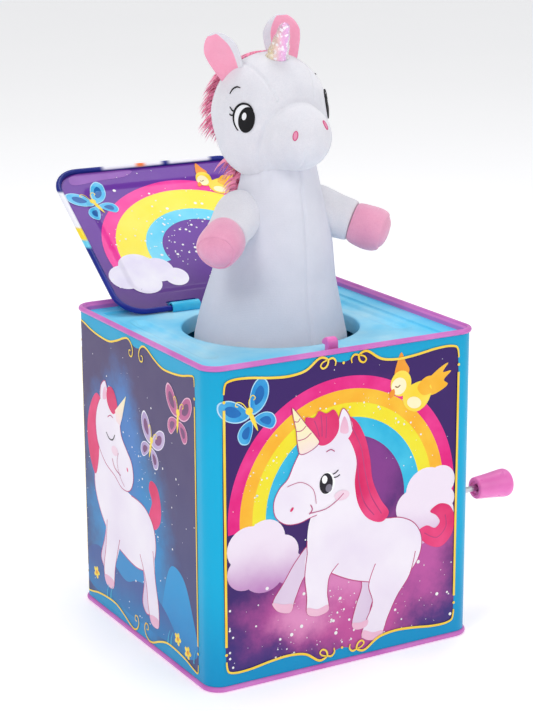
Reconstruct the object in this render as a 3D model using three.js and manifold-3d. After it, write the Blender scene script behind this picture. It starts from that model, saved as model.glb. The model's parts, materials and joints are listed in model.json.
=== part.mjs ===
// A tin jack-in-the-box with a plush unicorn, lid open and puppet up.
// Millimetres, +Z up, origin at the centre of the tin's underside, front face towards -Y.
import * as THREE from "three";
import { mergeVertices } from "three/addons/utils/BufferGeometryUtils.js";
import Module from "manifold-3d";

const wasm = await Module();
wasm.setup();

// Tin
const WIDTH = 140;
const DEPTH = 137;
const HEIGHT = 151.4;
const SHEET = 0.8;
const CORNER = 8;
const BEAD = 1.5; // radius of the seam beads round the top and the bottom
const GAP = 0.3;
const FLANGE_INSET = 1.6; // from the tin's face to the outside of the deck's upturned flange
const LEDGE_TOP = HEIGHT - 3.8;
const PANEL_TOP = HEIGHT - 4.8;
const LEDGE_WIDTH = 10;
const OPENING_R = 42;
const COLLAR_DEPTH = 8;
const LATCH_SLOT = { half: 3.6, front: -62.4, back: -53 };
const GROOVE = { inner: 47, outer: 56, length: 76, depth: 1.3 };

// Lid and its hinge, drawn closed and then swung open
const LID_WIDTH = 111.6;
const LID_CORNER = 15;
const LID_ROLL = 1.4;
const HINGE_Y = 47.8;
const HINGE_Z = 148.3;
const LID_FRONT = -52.7;
const LID_OPEN_DEG = 145.5;
const EMBOSS = { inset: 14, corner: 8, rise: 0.8 };
const TAB = { centre: 21, width: 15, inner: 2.15, outer: 2.85, curlDeg: 215 };

// Latch
const LATCH_PIVOT = { y: -60, z: 44 };
const LEVER_WIDTH = 8;
const LEVER_TOP = 141;
const LATCH_COIL = { x: 5, length: 4, r: 2.4, wire: 0.35, turns: 3 };
const LEVER_ARM = { x: 51, z: [68, 80] };
const FINGER = { x: 45.6, z: [71, 77], clearance: 0.5 }; // reaches back to the trip cam
const BUTTON = { half: 2.75, front: -57, back: -53.5, nose: -50.5, top: 153 };

// Crank and movement, shafts along X
const CRANK = { y: -14, z: 74, wire: 1.4, armX: 80, bend: 5 };
const KNOB = { y: -40, z: 61, inner: 91.5, outer: 111.5, r0: 5.4, r1: 7 };
const MODULE = 0.7;
const PINION_TEETH = 12;
const GEAR_TEETH = 36;
const CENTRE_DISTANCE = (MODULE * (PINION_TEETH + GEAR_TEETH)) / 2;
const DRUM = { y: CRANK.y - CENTRE_DISTANCE, z: CRANK.z, r: 7, x0: 49, x1: 60 };
const GEAR_X = [61.5, 64.5];
const CAM = { x: [46, 48.4], base: 7, lift: 7.2, steps: 36 };
const PLATE_IN = [44, 45];
const PLATE_OUT = [68, 68.9];
const AXLE_R = 1.2;
const SHAFT_HOLE = 1.8;
const BUSH_HOLE = 4.2;
const RIVET_HOLE = 1.7;
const PRESSURE_ANGLE = (20 * Math.PI) / 180;

// Puppet
const SKIRT = [
  [40, 4.8],
  [40.2, 60],
  [39.6, 110],
  [36.5, 143],
  [33.4, 157],
  [29.6, 172],
  [27, 187],
  [23, 201],
  [18.5, 217.5],
];
const SKIRT_THICK = 1;
const LEAN = { x: 2, y: -5.5, from: 143, to: 219 };
const SPRING = { wire: 0.9, r0: 33, r1: 13, z0: 4.6, z1: 204.5, turns: 9 };
const CRANIUM = { centre: [0, 0, 247], radii: [27.5, 28, 29] };
const MUZZLE = { centre: [0.5, -25, 239], radii: [16, 16, 15.5] };
const NECK_R = 12;
const ARM = { shoulder: [17, -3, 203], direction: [0.7, -0.65, -0.295], wrist: 26, tip: 45 };

const MATERIALS = {
  printed_tin: { color: 0x5a4a90, roughness: 0.35, metalness: 0.2 },
  deck_tin: { color: 0xa6e0f7, roughness: 0.35, metalness: 0.2 },
  lid_tin: { color: 0x6a39a0, roughness: 0.3, metalness: 0.2 },
  steel: { color: 0xb8bcc4, roughness: 0.35, metalness: 0.9 },
  brass: { color: 0xc9a35a, roughness: 0.35, metalness: 0.9 },
  pink_plastic: { color: 0xee72c5, roughness: 0.4, metalness: 0 },
  white_plastic: { color: 0xe8e8e4, roughness: 0.5, metalness: 0 },
  white_plush: { color: 0xe9eaf2, roughness: 0.95, metalness: 0 },
  pink_plush: { color: 0xe8a5c4, roughness: 0.95, metalness: 0 },
  skirt_fabric: { color: 0xc3c7db, roughness: 0.9, metalness: 0 },
  fur: { color: 0xf58fb8, roughness: 1, metalness: 0 },
  glitter_fabric: { color: 0xe6a9dc, roughness: 0.4, metalness: 0.3 },
};

const part = new THREE.Group();

function addMesh(name, geometry, material) {
  const mesh = new THREE.Mesh(geometry, new THREE.MeshStandardMaterial(MATERIALS[material]));
  mesh.name = name;
  part.add(mesh);
}

// Booleans

function toManifold(geometry) {
  const bare = geometry.clone();
  bare.deleteAttribute("normal");
  bare.deleteAttribute("uv");
  const merged = mergeVertices(bare, 1e-4);
  const vertProperties = new Float32Array(merged.attributes.position.array);
  const triVerts = new Uint32Array(merged.index.array);
  const made = new wasm.Manifold(new wasm.Mesh({ numProp: 3, vertProperties, triVerts }));
  if (made.volume() >= 0) return made;
  for (let i = 0; i < triVerts.length; i += 3) {
    [triVerts[i + 1], triVerts[i + 2]] = [triVerts[i + 2], triVerts[i + 1]];
  }
  return new wasm.Manifold(new wasm.Mesh({ numProp: 3, vertProperties, triVerts }));
}

function toGeometry(manifold) {
  const mesh = manifold.getMesh();
  const positions = new Float32Array(mesh.numVert * 3);
  for (let i = 0; i < mesh.numVert; i++) {
    for (let k = 0; k < 3; k++) positions[3 * i + k] = mesh.vertProperties[mesh.numProp * i + k];
  }
  const geometry = new THREE.BufferGeometry();
  geometry.setAttribute("position", new THREE.BufferAttribute(positions, 3));
  geometry.setIndex(new THREE.BufferAttribute(new Uint32Array(mesh.triVerts), 1));
  geometry.computeVertexNormals();
  return geometry;
}

function join(...geometries) {
  return toGeometry(geometries.map(toManifold).reduce((a, b) => a.add(b)));
}

function cut(geometry, ...tools) {
  return toGeometry(tools.map(toManifold).reduce((a, b) => a.subtract(b), toManifold(geometry)));
}

const outward = (geometry) => toGeometry(toManifold(geometry));

// Shapes

function box(x0, x1, y0, y1, z0, z1) {
  const geometry = new THREE.BoxGeometry(x1 - x0, y1 - y0, z1 - z0);
  return geometry.translate((x0 + x1) / 2, (y0 + y1) / 2, (z0 + z1) / 2);
}

function roundedRect(halfX, halfY, radius, centreY = 0) {
  const shape = new THREE.Shape();
  const corners = [
    [halfX - radius, centreY + halfY - radius, 0],
    [radius - halfX, centreY + halfY - radius, 1],
    [radius - halfX, centreY + radius - halfY, 2],
    [halfX - radius, centreY + radius - halfY, 3],
  ];
  for (const [x, y, quarter] of corners) {
    const from = (quarter * Math.PI) / 2;
    shape.absarc(x, y, radius, from, from + Math.PI / 2, false);
  }
  return shape;
}

function circle(x, y, radius) {
  return new THREE.Shape().absarc(x, y, radius, 0, 2 * Math.PI, false);
}

function slab(shape, z0, z1, curveSegments = 6) {
  const options = { depth: z1 - z0, bevelEnabled: false, curveSegments };
  return new THREE.ExtrudeGeometry(shape, options).translate(0, 0, z0);
}

// A shape drawn in (y, z), extruded along X.
function slabX(shape, x0, x1, curveSegments = 6) {
  const turn = new THREE.Matrix4().set(0, 0, 1, 0, 1, 0, 0, 0, 0, 1, 0, 0, 0, 0, 0, 1);
  return slab(shape, x0, x1, curveSegments).applyMatrix4(turn);
}

function rod(axis, centre, radius, from, to, sides = 16) {
  const geometry = new THREE.CylinderGeometry(radius, radius, to - from, sides);
  geometry.translate(0, (from + to) / 2, 0);
  if (axis === "x") return geometry.rotateZ(-Math.PI / 2).translate(0, centre[0], centre[1]);
  if (axis === "y") return geometry.translate(centre[0], 0, centre[1]);
  return geometry.rotateX(Math.PI / 2).translate(centre[0], centre[1], 0);
}

function polygon(points) {
  return new THREE.Shape(points.map(([x, y]) => new THREE.Vector2(x, y)));
}

// A closed profile of [inset, z] points carried round a rounded rectangle.
function roundTheEdge(profile, halfX, halfY, radius, centreY = 0, cornerSteps = 5) {
  const positions = [];
  const indices = [];
  const around = 4 * (cornerSteps + 1);
  for (const [inset, z] of profile) {
    const r = Math.max(radius - inset, 0.4);
    for (let i = 0; i < around; i++) {
      const quarter = Math.floor(i / (cornerSteps + 1));
      const angle = ((quarter + (i % (cornerSteps + 1)) / cornerSteps) * Math.PI) / 2;
      const sx = quarter === 0 || quarter === 3 ? 1 : -1;
      const sy = quarter < 2 ? 1 : -1;
      positions.push(
        sx * (halfX - inset - r) + r * Math.cos(angle),
        centreY + sy * (halfY - inset - r) + r * Math.sin(angle),
        z,
      );
    }
  }
  for (let j = 0; j < profile.length; j++) {
    const next = (j + 1) % profile.length;
    for (let i = 0; i < around; i++) {
      const side = (i + 1) % around;
      const [a, b] = [j * around + i, j * around + side];
      const [c, d] = [next * around + i, next * around + side];
      indices.push(a, b, d, a, d, c);
    }
  }
  const geometry = new THREE.BufferGeometry();
  geometry.setAttribute("position", new THREE.Float32BufferAttribute(positions, 3));
  geometry.setIndex(indices);
  return outward(geometry);
}

function beadProfile(inset, z, radius, sides = 8) {
  return Array.from({ length: sides }, (_, i) => {
    const angle = (2 * Math.PI * i) / sides;
    return [inset - radius * Math.cos(angle), z + radius * Math.sin(angle)];
  });
}

function rectProfile(inset0, inset1, z0, z1) {
  return [
    [inset0, z0],
    [inset1, z0],
    [inset1, z1],
    [inset0, z1],
  ];
}

function lathe(points, segments = 24) {
  const profile = points.map(([r, z]) => new THREE.Vector2(r, z));
  return outward(new THREE.LatheGeometry(profile, segments).rotateX(Math.PI / 2));
}

function ellipsoid({ centre, radii }, grow = 0, segments = 24) {
  const geometry = new THREE.SphereGeometry(1, segments, Math.round(segments * 0.65));
  geometry.scale(...radii.map((r) => r + grow));
  return geometry.translate(...centre);
}

function tube(curve, radius, steps, sides) {
  const section = new THREE.Shape().absarc(0, 0, radius, 0, 2 * Math.PI, false);
  const options = { extrudePath: curve, steps, curveSegments: sides, bevelEnabled: false };
  return outward(new THREE.ExtrudeGeometry(section, options));
}

// Tin body

function bodyShell() {
  const profile = rectProfile(0, SHEET, 2 * BEAD + GAP, HEIGHT - 2 * BEAD - GAP);
  const shell = roundTheEdge(profile, WIDTH / 2, DEPTH / 2, CORNER);
  const holes = rivetPlaces().map(([y, z]) => rod("x", [y, z], RIVET_HOLE, 60, 80, 12));
  return cut(shell, rod("x", [CRANK.y, CRANK.z], BUSH_HOLE, 60, 80, 20), ...holes);
}

function basePanel() {
  const bead = roundTheEdge(beadProfile(0.2, BEAD, BEAD), WIDTH / 2, DEPTH / 2, CORNER);
  const plate = slab(roundedRect(WIDTH / 2 - 1, DEPTH / 2 - 1, CORNER - 1), 0, SHEET);
  const flange = roundTheEdge(rectProfile(1.1, 1.1 + SHEET, 0, 7), WIDTH / 2, DEPTH / 2, CORNER);
  return join(bead, plate, flange);
}

function curledTab(side) {
  const half = TAB.width / 2;
  const end = (TAB.curlDeg * Math.PI) / 180;
  const ring = new THREE.Shape();
  ring.moveTo(HINGE_Y + TAB.inner, PANEL_TOP - SHEET / 2);
  ring.lineTo(HINGE_Y + TAB.outer, PANEL_TOP - SHEET / 2);
  ring.absarc(HINGE_Y, HINGE_Z, TAB.outer, 0, end, false);
  ring.absarc(HINGE_Y, HINGE_Z, TAB.inner, end, 0, true);
  return slabX(ring, side * TAB.centre - half, side * TAB.centre + half, 6);
}

function pressedGroove(side) {
  const middle = (side * (GROOVE.inner + GROOVE.outer)) / 2;
  const radius = (GROOVE.outer - GROOVE.inner) / 2;
  const outline = (r) => roundedRect(r, GROOVE.length / 2 - radius + r, r - 0.01);
  const low = PANEL_TOP - GROOVE.depth - SHEET;
  const tray = cut(
    slab(outline(radius + SHEET / 2), low, PANEL_TOP, 3),
    slab(outline(radius - SHEET / 2), low + SHEET, PANEL_TOP + 1, 3),
  );
  return {
    tray: tray.translate(middle, 0, 0),
    hole: slab(outline(radius), PANEL_TOP - 2, PANEL_TOP + 2, 3).translate(middle, 0, 0),
  };
}

function deckPanel() {
  const halfX = WIDTH / 2;
  const halfY = DEPTH / 2;
  const edge = (profile) => roundTheEdge(profile, halfX, halfY, CORNER);
  const flangeIn = FLANGE_INSET + SHEET;
  const bead = edge(beadProfile(0.2, HEIGHT - BEAD, BEAD));
  const flange = edge(rectProfile(1.1, flangeIn, LEDGE_TOP - SHEET, HEIGHT - BEAD));
  const ledge = edge(rectProfile(1.2, LEDGE_WIDTH + SHEET, LEDGE_TOP - SHEET, LEDGE_TOP));
  const step = edge(rectProfile(LEDGE_WIDTH, LEDGE_WIDTH + SHEET, PANEL_TOP - SHEET, LEDGE_TOP));
  const inset = LEDGE_WIDTH + 0.1;
  const outline = roundedRect(halfX - inset, halfY - inset, 1);
  const opening = rod("z", [0, 0], OPENING_R + SHEET / 2, PANEL_TOP - 4, PANEL_TOP + 1, 40);
  const grooves = [-1, 1].map(pressedGroove);
  const sheetFloor = slab(outline, PANEL_TOP - SHEET, PANEL_TOP, 1);
  const floor = cut(sheetFloor, opening, ...grooves.map((g) => g.hole));
  const collar = lathe([
    [OPENING_R, PANEL_TOP],
    [OPENING_R, PANEL_TOP - COLLAR_DEPTH],
    [OPENING_R + SHEET, PANEL_TOP - COLLAR_DEPTH],
    [OPENING_R + SHEET, PANEL_TOP],
    [OPENING_R, PANEL_TOP],
  ], 40);
  const tabs = [-1, 1].map(curledTab);
  const trays = grooves.map((g) => g.tray);
  const sheet = join(bead, flange, ledge, step, floor, collar, ...tabs, ...trays);
  const { half, front, back } = LATCH_SLOT;
  return cut(sheet, box(-half, half, front, back, PANEL_TOP - 3, LEDGE_TOP + 1));
}

// Lid

function lidPanel() {
  const back = HINGE_Y + LID_ROLL;
  const halfY = (back - LID_FRONT) / 2;
  const centreY = (back + LID_FRONT) / 2;
  const halfX = LID_WIDTH / 2;
  const top = HINGE_Z + LID_ROLL;
  const roll = roundTheEdge(
    beadProfile(LID_ROLL, HINGE_Z, LID_ROLL), halfX, halfY, LID_CORNER, centreY,
  );
  const outline = roundedRect(halfX - LID_ROLL, halfY - LID_ROLL, LID_CORNER - LID_ROLL, centreY);
  const plate = slab(outline, top - SHEET, top);
  const raised = (grow) =>
    roundedRect(
      halfX - EMBOSS.inset + grow, halfY - EMBOSS.inset + grow, EMBOSS.corner + grow, centreY,
    );
  const emboss = slab(raised(0.4), top - SHEET, top + EMBOSS.rise);
  const hollow = slab(raised(-0.4), top - SHEET - 1, top);
  const slots = [-1, 1].map((side) => {
    const x = side * TAB.centre;
    const half = TAB.width / 2 + 0.6;
    return box(x - half, x + half, HINGE_Y - 5, HINGE_Y - LID_ROLL, top - 3, top + 3);
  });
  const closed = cut(join(roll, cut(join(plate, emboss), hollow)), ...slots);
  const open = new THREE.Matrix4().makeRotationX((-LID_OPEN_DEG * Math.PI) / 180);
  return closed.translate(0, -HINGE_Y, -HINGE_Z).applyMatrix4(open).translate(0, HINGE_Y, HINGE_Z);
}

// Latch

function latchLever() {
  const half = LEVER_WIDTH / 2;
  const { y, z } = LATCH_PIVOT;
  const strip = box(-half, half, y - 0.4, y + 0.4, z, LEVER_TOP);
  const arm = box(half - 1, LEVER_ARM.x, y - 0.4, y + 0.4, ...LEVER_ARM.z);
  const fingerBack = DRUM.y - CAM.base - CAM.lift - FINGER.clearance;
  const finger = box(FINGER.x, LEVER_ARM.x, y - 0.4, fingerBack, ...FINGER.z);
  const barrel = rod("x", [y, z], 2.4, -half, half);
  return cut(join(strip, arm, finger, barrel), rod("x", [y, z], 1.4, -half - 1, half + 1));
}

function latchButton() {
  const { front, back, nose, top, half } = BUTTON;
  const stem = box(-half, half, front, back, LEVER_TOP - 7, top);
  const foot = box(-half, half, LATCH_PIVOT.y + 0.7, back, LEVER_TOP - 7, LEVER_TOP - 1);
  const wedge = polygon([
    [back - 0.5, top],
    [back - 0.5, top - 2.7],
    [nose, top - 2.7],
    [nose, top - 1.9],
  ]);
  return join(stem, foot, slabX(wedge, -half, half));
}

function latchBracket() {
  const wall = -DEPTH / 2 + SHEET + GAP;
  const { y, z } = LATCH_PIVOT;
  const plate = box(-12, 12, wall, wall + 1, z - 8, z + 10);
  const ears = [-11, 10].map((x) => box(x, x + 1, wall, y + 3, z - 4, z + 4));
  return cut(join(plate, ...ears), rod("x", [y, z], 1.3, -13, 13));
}

function latchPin() {
  const { y, z } = LATCH_PIVOT;
  return join(rod("x", [y, z], 1, -12.2, 12.2, 12), rod("x", [y, z], 1.9, 11.4, 12.6, 12));
}

function latchSpring() {
  const { y, z } = LATCH_PIVOT;
  const { x, length, r, turns } = LATCH_COIL;
  const points = [new THREE.Vector3(x, y - 6, z - r)];
  const steps = turns * 8;
  for (let i = 0; i <= steps; i++) {
    const angle = Math.PI * 1.5 - (i / 8) * 2 * Math.PI;
    const at = [x + (i * length) / steps, y + r * Math.cos(angle), z + r * Math.sin(angle)];
    points.push(new THREE.Vector3(...at));
  }
  const last = points[points.length - 1];
  points.push(new THREE.Vector3(last.x, last.y + 1, last.z - 0.2));
  return tube(new THREE.CatmullRomCurve3(points), LATCH_COIL.wire, 40, 2);
}

// Crank

function crankWire() {
  const start = new THREE.Vector3(PLATE_IN[0] - 0.6, CRANK.y, CRANK.z);
  const elbow = new THREE.Vector3(CRANK.armX, CRANK.y, CRANK.z);
  const wrist = new THREE.Vector3(CRANK.armX, KNOB.y, KNOB.z);
  const end = new THREE.Vector3(KNOB.outer - 3, KNOB.y, KNOB.z);
  const path = new THREE.CurvePath();
  const near = (from, to) => from.clone().lerp(to, CRANK.bend / from.distanceTo(to));
  path.add(new THREE.LineCurve3(start, near(elbow, start)));
  path.add(new THREE.QuadraticBezierCurve3(near(elbow, start), elbow, near(elbow, wrist)));
  path.add(new THREE.LineCurve3(near(elbow, wrist), near(wrist, elbow)));
  path.add(new THREE.QuadraticBezierCurve3(near(wrist, elbow), wrist, near(wrist, end)));
  path.add(new THREE.LineCurve3(near(wrist, end), end));
  return tube(path, CRANK.wire, 48, 4);
}

function knobShape() {
  const { inner, outer, r0, r1 } = KNOB;
  const bore = CRANK.wire + 0.4;
  const profile = [
    [bore, inner],
    [r0 - 0.8, inner],
    [r0, inner + 0.8],
    [r0 + 0.2, inner + 4],
    [r1 - 0.3, outer - 6],
    [r1, outer - 3.2],
    [r1 - 0.7, outer - 1.4],
    [r1 - 2.4, outer - 0.3],
    [0, outer],
    [0, outer - 2],
    [bore, outer - 2],
    [bore, inner],
  ];
  return lathe(profile).rotateY(Math.PI / 2).translate(0, KNOB.y, KNOB.z);
}

function crankBush() {
  const centre = [CRANK.y, CRANK.z];
  const flange = rod("x", centre, 5.6, WIDTH / 2 + GAP, WIDTH / 2 + 1.3, 20);
  const sleeve = rod("x", centre, 3.8, PLATE_OUT[0] - 0.6, WIDTH / 2 + 1, 20);
  return cut(join(flange, sleeve), rod("x", centre, SHAFT_HOLE, 60, 80, 16));
}

function gearShape(teeth, addendum, backlash, bore, phase) {
  const pitch = (MODULE * teeth) / 2;
  const base = pitch * Math.cos(PRESSURE_ANGLE);
  const root = pitch - 1.3 * MODULE;
  const tip = pitch + addendum;
  const involute = (r) => {
    const alpha = Math.acos(Math.min(base / r, 1));
    return Math.tan(alpha) - alpha;
  };
  const halfTooth = Math.PI / (2 * teeth) - backlash / (2 * pitch);
  const widthAt = (r) => halfTooth + involute(pitch) - involute(Math.max(r, base));
  const radii = [root, pitch, tip];
  const outline = [];
  for (let i = 0; i < teeth; i++) {
    const middle = phase + (2 * Math.PI * i) / teeth;
    for (const r of radii) outline.push([r, middle - widthAt(r)]);
    for (const r of [...radii].reverse()) outline.push([r, middle + widthAt(r)]);
  }
  const shape = polygon(outline.map(([r, a]) => [r * Math.cos(a), r * Math.sin(a)]));
  shape.holes.push(circle(0, 0, bore));
  return shape;
}

function crankPinion() {
  const shape = gearShape(PINION_TEETH, 0.55, 0.22, CRANK.wire + 0.4, Math.PI);
  return slabX(shape, ...GEAR_X, 8).translate(0, CRANK.y, CRANK.z);
}

function drumGear() {
  const shape = gearShape(GEAR_TEETH, 0.5, 0.22, AXLE_R + 0.3, Math.PI / GEAR_TEETH);
  return slabX(shape, ...GEAR_X, 8).translate(0, DRUM.y, DRUM.z);
}

function crankCollar() {
  const centre = [CRANK.y, CRANK.z];
  const ring = rod("x", centre, 3.4, GEAR_X[1] + GAP, GEAR_X[1] + 2, 16);
  return cut(ring, rod("x", centre, SHAFT_HOLE, 60, 70, 12));
}

// Movement

function melodyDrum() {
  const centre = [DRUM.y, DRUM.z];
  const pins = [];
  for (let track = 0; track < 9; track++) {
    for (let note = 0; note < 4; note++) {
      const angle = ((track * 67 + note * 93 + track * note * 11) * Math.PI) / 180;
      const pin = new THREE.BoxGeometry(0.4, 1.4, 0.4).translate(0, DRUM.r, 0).rotateX(angle);
      pins.push(pin.translate(DRUM.x0 + 1.3 + track * TRACK_PITCH, ...centre));
    }
  }
  const cylinder = rod("x", centre, DRUM.r, DRUM.x0, DRUM.x1, 24);
  return cut(join(cylinder, ...pins), rod("x", centre, AXLE_R + 0.3, 40, 70, 12));
}

function tripCam() {
  const outline = new THREE.Shape();
  for (let i = 0; i < CAM.steps; i++) {
    const angle = Math.PI / 2 + (2 * Math.PI * i) / CAM.steps;
    const lobe = Math.max(0, Math.cos(angle - Math.PI / 2)) ** 8;
    const radius = CAM.base + CAM.lift * lobe;
    const point = [radius * Math.cos(angle), radius * Math.sin(angle)];
    if (i === 0) outline.moveTo(...point);
    else outline.lineTo(...point);
  }
  outline.closePath();
  outline.holes.push(circle(0, 0, AXLE_R + 0.3));
  return slabX(outline, ...CAM.x, 8).translate(0, DRUM.y, DRUM.z);
}

function rivetPlaces() {
  return [
    [-46, 60],
    [-46, 88],
    [-2, 88],
  ];
}

function frameRivet(y, z) {
  const face = WIDTH / 2 + GAP;
  const inner = PLATE_OUT[0] - GAP;
  const shank = rod("x", [y, z], 1.3, inner - 0.5, face + 0.4, 12);
  const head = rod("x", [y, z], 2.8, face, face + 0.8, 16);
  return join(shank, head, rod("x", [y, z], 2.4, inner - 1, inner, 16));
}

const COMB = { y: DRUM.y + 9.2, x0: 48.5, x1: 60.5, bottom: 58, top: 75, clampTop: 64, screwZ: 61 };
const TRACK_PITCH = 1.05;

function movementFrame() {
  const outer = box(...PLATE_OUT, -50, 2, 56, 92);
  const inner = box(...PLATE_IN, -42, -6, 56, 88);
  const bridge = box(PLATE_IN[0], PLATE_OUT[1], -38, -8, 55, 56.2);
  const post = box(COMB.x0, COMB.x1, COMB.y + 0.7, COMB.y + 1.7, 55.5, COMB.clampTop);
  const screws = combScrewPlaces().map((x) => rod("y", [x, COMB.screwZ], 1.1, COMB.y - 3, COMB.y + 4, 12));
  const rivets = rivetPlaces().map(([y, z]) => rod("x", [y, z], RIVET_HOLE, 66, 70, 12));
  return cut(
    join(outer, inner, bridge, post),
    rod("x", [CRANK.y, CRANK.z], SHAFT_HOLE, 43, 46, 12),
    rod("x", [CRANK.y, CRANK.z], BUSH_HOLE, 66, 70, 16),
    rod("x", [DRUM.y, DRUM.z], AXLE_R + 0.3, 43, 70, 12),
    ...screws,
    ...rivets,
  );
}

function combScrewPlaces() {
  return [51.5, 57.5];
}

function combPlate() {
  const plate = box(COMB.x0, COMB.x1, COMB.y - 0.4, COMB.y + 0.4, COMB.bottom, COMB.top);
  const slits = Array.from({ length: 10 }, (_, i) => {
    const x = COMB.x0 + 1.2 + i * TRACK_PITCH;
    return box(x - 0.15, x + 0.15, COMB.y - 1, COMB.y + 1, COMB.clampTop + 1.5, COMB.top + 1);
  });
  const holes = combScrewPlaces().map((x) => rod("y", [x, COMB.screwZ], 1.1, COMB.y - 3, COMB.y + 4, 12));
  return cut(plate, ...slits, ...holes);
}

function combClamp() {
  const bar = box(COMB.x0, COMB.x1, COMB.y - 2.2, COMB.y - 0.7, COMB.bottom, COMB.clampTop);
  const holes = combScrewPlaces().map((x) => rod("y", [x, COMB.screwZ], 1.1, COMB.y - 3, COMB.y + 4, 12));
  return cut(bar, ...holes);
}

function combScrew(x) {
  const head = cut(
    rod("y", [x, COMB.screwZ], 1.9, COMB.y - 3.9, COMB.y - 2.5, 14),
    box(x - 0.25, x + 0.25, COMB.y - 4.1, COMB.y - 3.4, COMB.bottom, COMB.clampTop),
  );
  return join(head, rod("y", [x, COMB.screwZ], 0.8, COMB.y - 3, COMB.y + 3, 12));
}

// Puppet

function leaning(geometry) {
  const position = geometry.attributes.position;
  for (let i = 0; i < position.count; i++) {
    const z = position.getZ(i);
    const share = THREE.MathUtils.smoothstep(z, LEAN.from, LEAN.to);
    position.setX(i, position.getX(i) + LEAN.x * share);
    position.setY(i, position.getY(i) + LEAN.y * share);
  }
  return geometry;
}

function puppetSkirt() {
  const inner = SKIRT.map(([r, z]) => [r - SKIRT_THICK, z]).reverse();
  return leaning(lathe([...SKIRT, ...inner, SKIRT[0]], 24));
}

function skirtBlock(grow) {
  const top = SKIRT[SKIRT.length - 1];
  const profile = SKIRT.map(([r, z]) => [r + grow, z]);
  return leaning(lathe([[0, SKIRT[0][1]], ...profile, [0, top[1] + grow]], 24));
}

function mainSpring() {
  const points = [];
  const steps = SPRING.turns * 12;
  for (let i = 0; i <= steps; i++) {
    const t = i / steps;
    const angle = t * SPRING.turns * 2 * Math.PI;
    const r = THREE.MathUtils.lerp(SPRING.r0, SPRING.r1, t * t);
    points.push(
      new THREE.Vector3(
        r * Math.cos(angle), r * Math.sin(angle), THREE.MathUtils.lerp(SPRING.z0, SPRING.z1, t),
      ),
    );
  }
  return leaning(tube(new THREE.CatmullRomCurve3(points), SPRING.wire, SPRING.turns * 14, 3));
}

function springSeat() {
  return lathe([
    [0, SHEET + GAP],
    [41, SHEET + GAP],
    [41, SHEET + GAP + 1.2],
    [30, SHEET + GAP + 1.2],
    [28.5, SHEET + GAP + 3.4],
    [27, SHEET + GAP + 3.4],
    [27, SHEET + GAP + 1.2],
    [0, SHEET + GAP + 1.2],
  ], 32);
}

function hemRing() {
  const bottom = SHEET + 1.2 + 2 * GAP;
  return lathe([
    [37, bottom],
    [41, bottom],
    [41, bottom + 1.6],
    [37, bottom + 1.6],
    [37, bottom],
  ], 32);
}

function neckDisc() {
  return leaning(rod("z", [0, 0], 13.5, SPRING.z1 + 1.6, SPRING.z1 + 3.4, 24));
}

function headBlock(grow) {
  const neck = rod("z", [LEAN.x, LEAN.y], NECK_R + grow, SPRING.z1 + 4, 228, 24);
  return join(ellipsoid(CRANIUM, grow, 24), ellipsoid(MUZZLE, grow, 20), neck);
}

// A lathed shape standing on a point and aimed along a direction.
function aimed(profile, origin, direction, flatten = 1, segments = 16) {
  const aim = new THREE.Vector3(...direction).normalize();
  const turn = new THREE.Quaternion().setFromUnitVectors(new THREE.Vector3(0, 0, 1), aim);
  const geometry = lathe(profile, segments).scale(1, flatten, 1);
  return geometry.applyQuaternion(turn).translate(...origin);
}

function horn() {
  const profile = [
    [0, -3],
    [6, -3],
    [5.6, 0],
    [4.2, 8],
    [2.8, 16],
    [1.6, 21.6],
    [0, 23],
  ];
  return cut(aimed(profile, [0.5, -5, 272.5], [0, -9.8, 20.8]), headBlock(0.35));
}

function ear(side) {
  const place = side < 0
    ? { base: [-17.5, 1.5, 264.5], direction: [-8, 0, 20.9], width: 7, height: 22.4 }
    : { base: [9.8, 1.5, 269.5], direction: [-2.4, 0, 22.6], width: 6.3, height: 22.7 };
  const { width, height } = place;
  const profile = [
    [0, -4],
    [width * 0.8, -4],
    [width * 0.95, 2],
    [width, height * 0.3],
    [width * 0.72, height * 0.62],
    [width * 0.3, height * 0.9],
    [0, height],
  ];
  const flatten = 2.6 / width;
  return cut(aimed(profile, place.base, place.direction, flatten), headBlock(0.35));
}

function mane() {
  const lock = { centre: [0, 10, 240], radii: [20, 26, 37] };
  const front = box(-40, 40, -40, 7.5, 180, 300);
  return cut(ellipsoid(lock, 0, 20), headBlock(0.5), skirtBlock(0.5), front);
}

function armPiece(side, profile) {
  const [x, y, z] = ARM.shoulder;
  const [dx, dy, dz] = ARM.direction;
  return aimed(profile, [side * x, y, z], [side * dx, dy, dz]);
}

function sleeve(side) {
  const profile = [
    [0, 0],
    [11.5, 0],
    [12, 5],
    [10.8, 15],
    [9.2, ARM.wrist - 1],
    [8.6, ARM.wrist - 0.3],
    [0, ARM.wrist - 0.3],
  ];
  return cut(armPiece(side, profile), skirtBlock(0.4));
}

function hoof(side) {
  const profile = [
    [0, ARM.wrist],
    [8.6, ARM.wrist],
    [9.4, ARM.wrist + 2],
    [9.8, ARM.wrist + 9],
    [9.2, ARM.tip - 3.4],
    [7.4, ARM.tip - 1],
    [5, ARM.tip],
    [0, ARM.tip],
  ];
  return armPiece(side, profile);
}

addMesh("body_shell", bodyShell(), "printed_tin");
addMesh("base_panel", basePanel(), "deck_tin");
addMesh("deck_panel", deckPanel(), "deck_tin");
addMesh("lid_panel", lidPanel(), "lid_tin");

addMesh("latch_lever", latchLever(), "steel");
addMesh("latch_button", latchButton(), "pink_plastic");
addMesh("latch_bracket", latchBracket(), "steel");
addMesh("latch_pin", latchPin(), "steel");
addMesh("latch_spring", latchSpring(), "steel");

addMesh("crank_wire", crankWire(), "steel");
addMesh("crank_knob", knobShape(), "pink_plastic");
addMesh("crank_bush", crankBush(), "white_plastic");
addMesh("crank_pinion", crankPinion(), "brass");
addMesh("crank_collar", crankCollar(), "steel");

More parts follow.
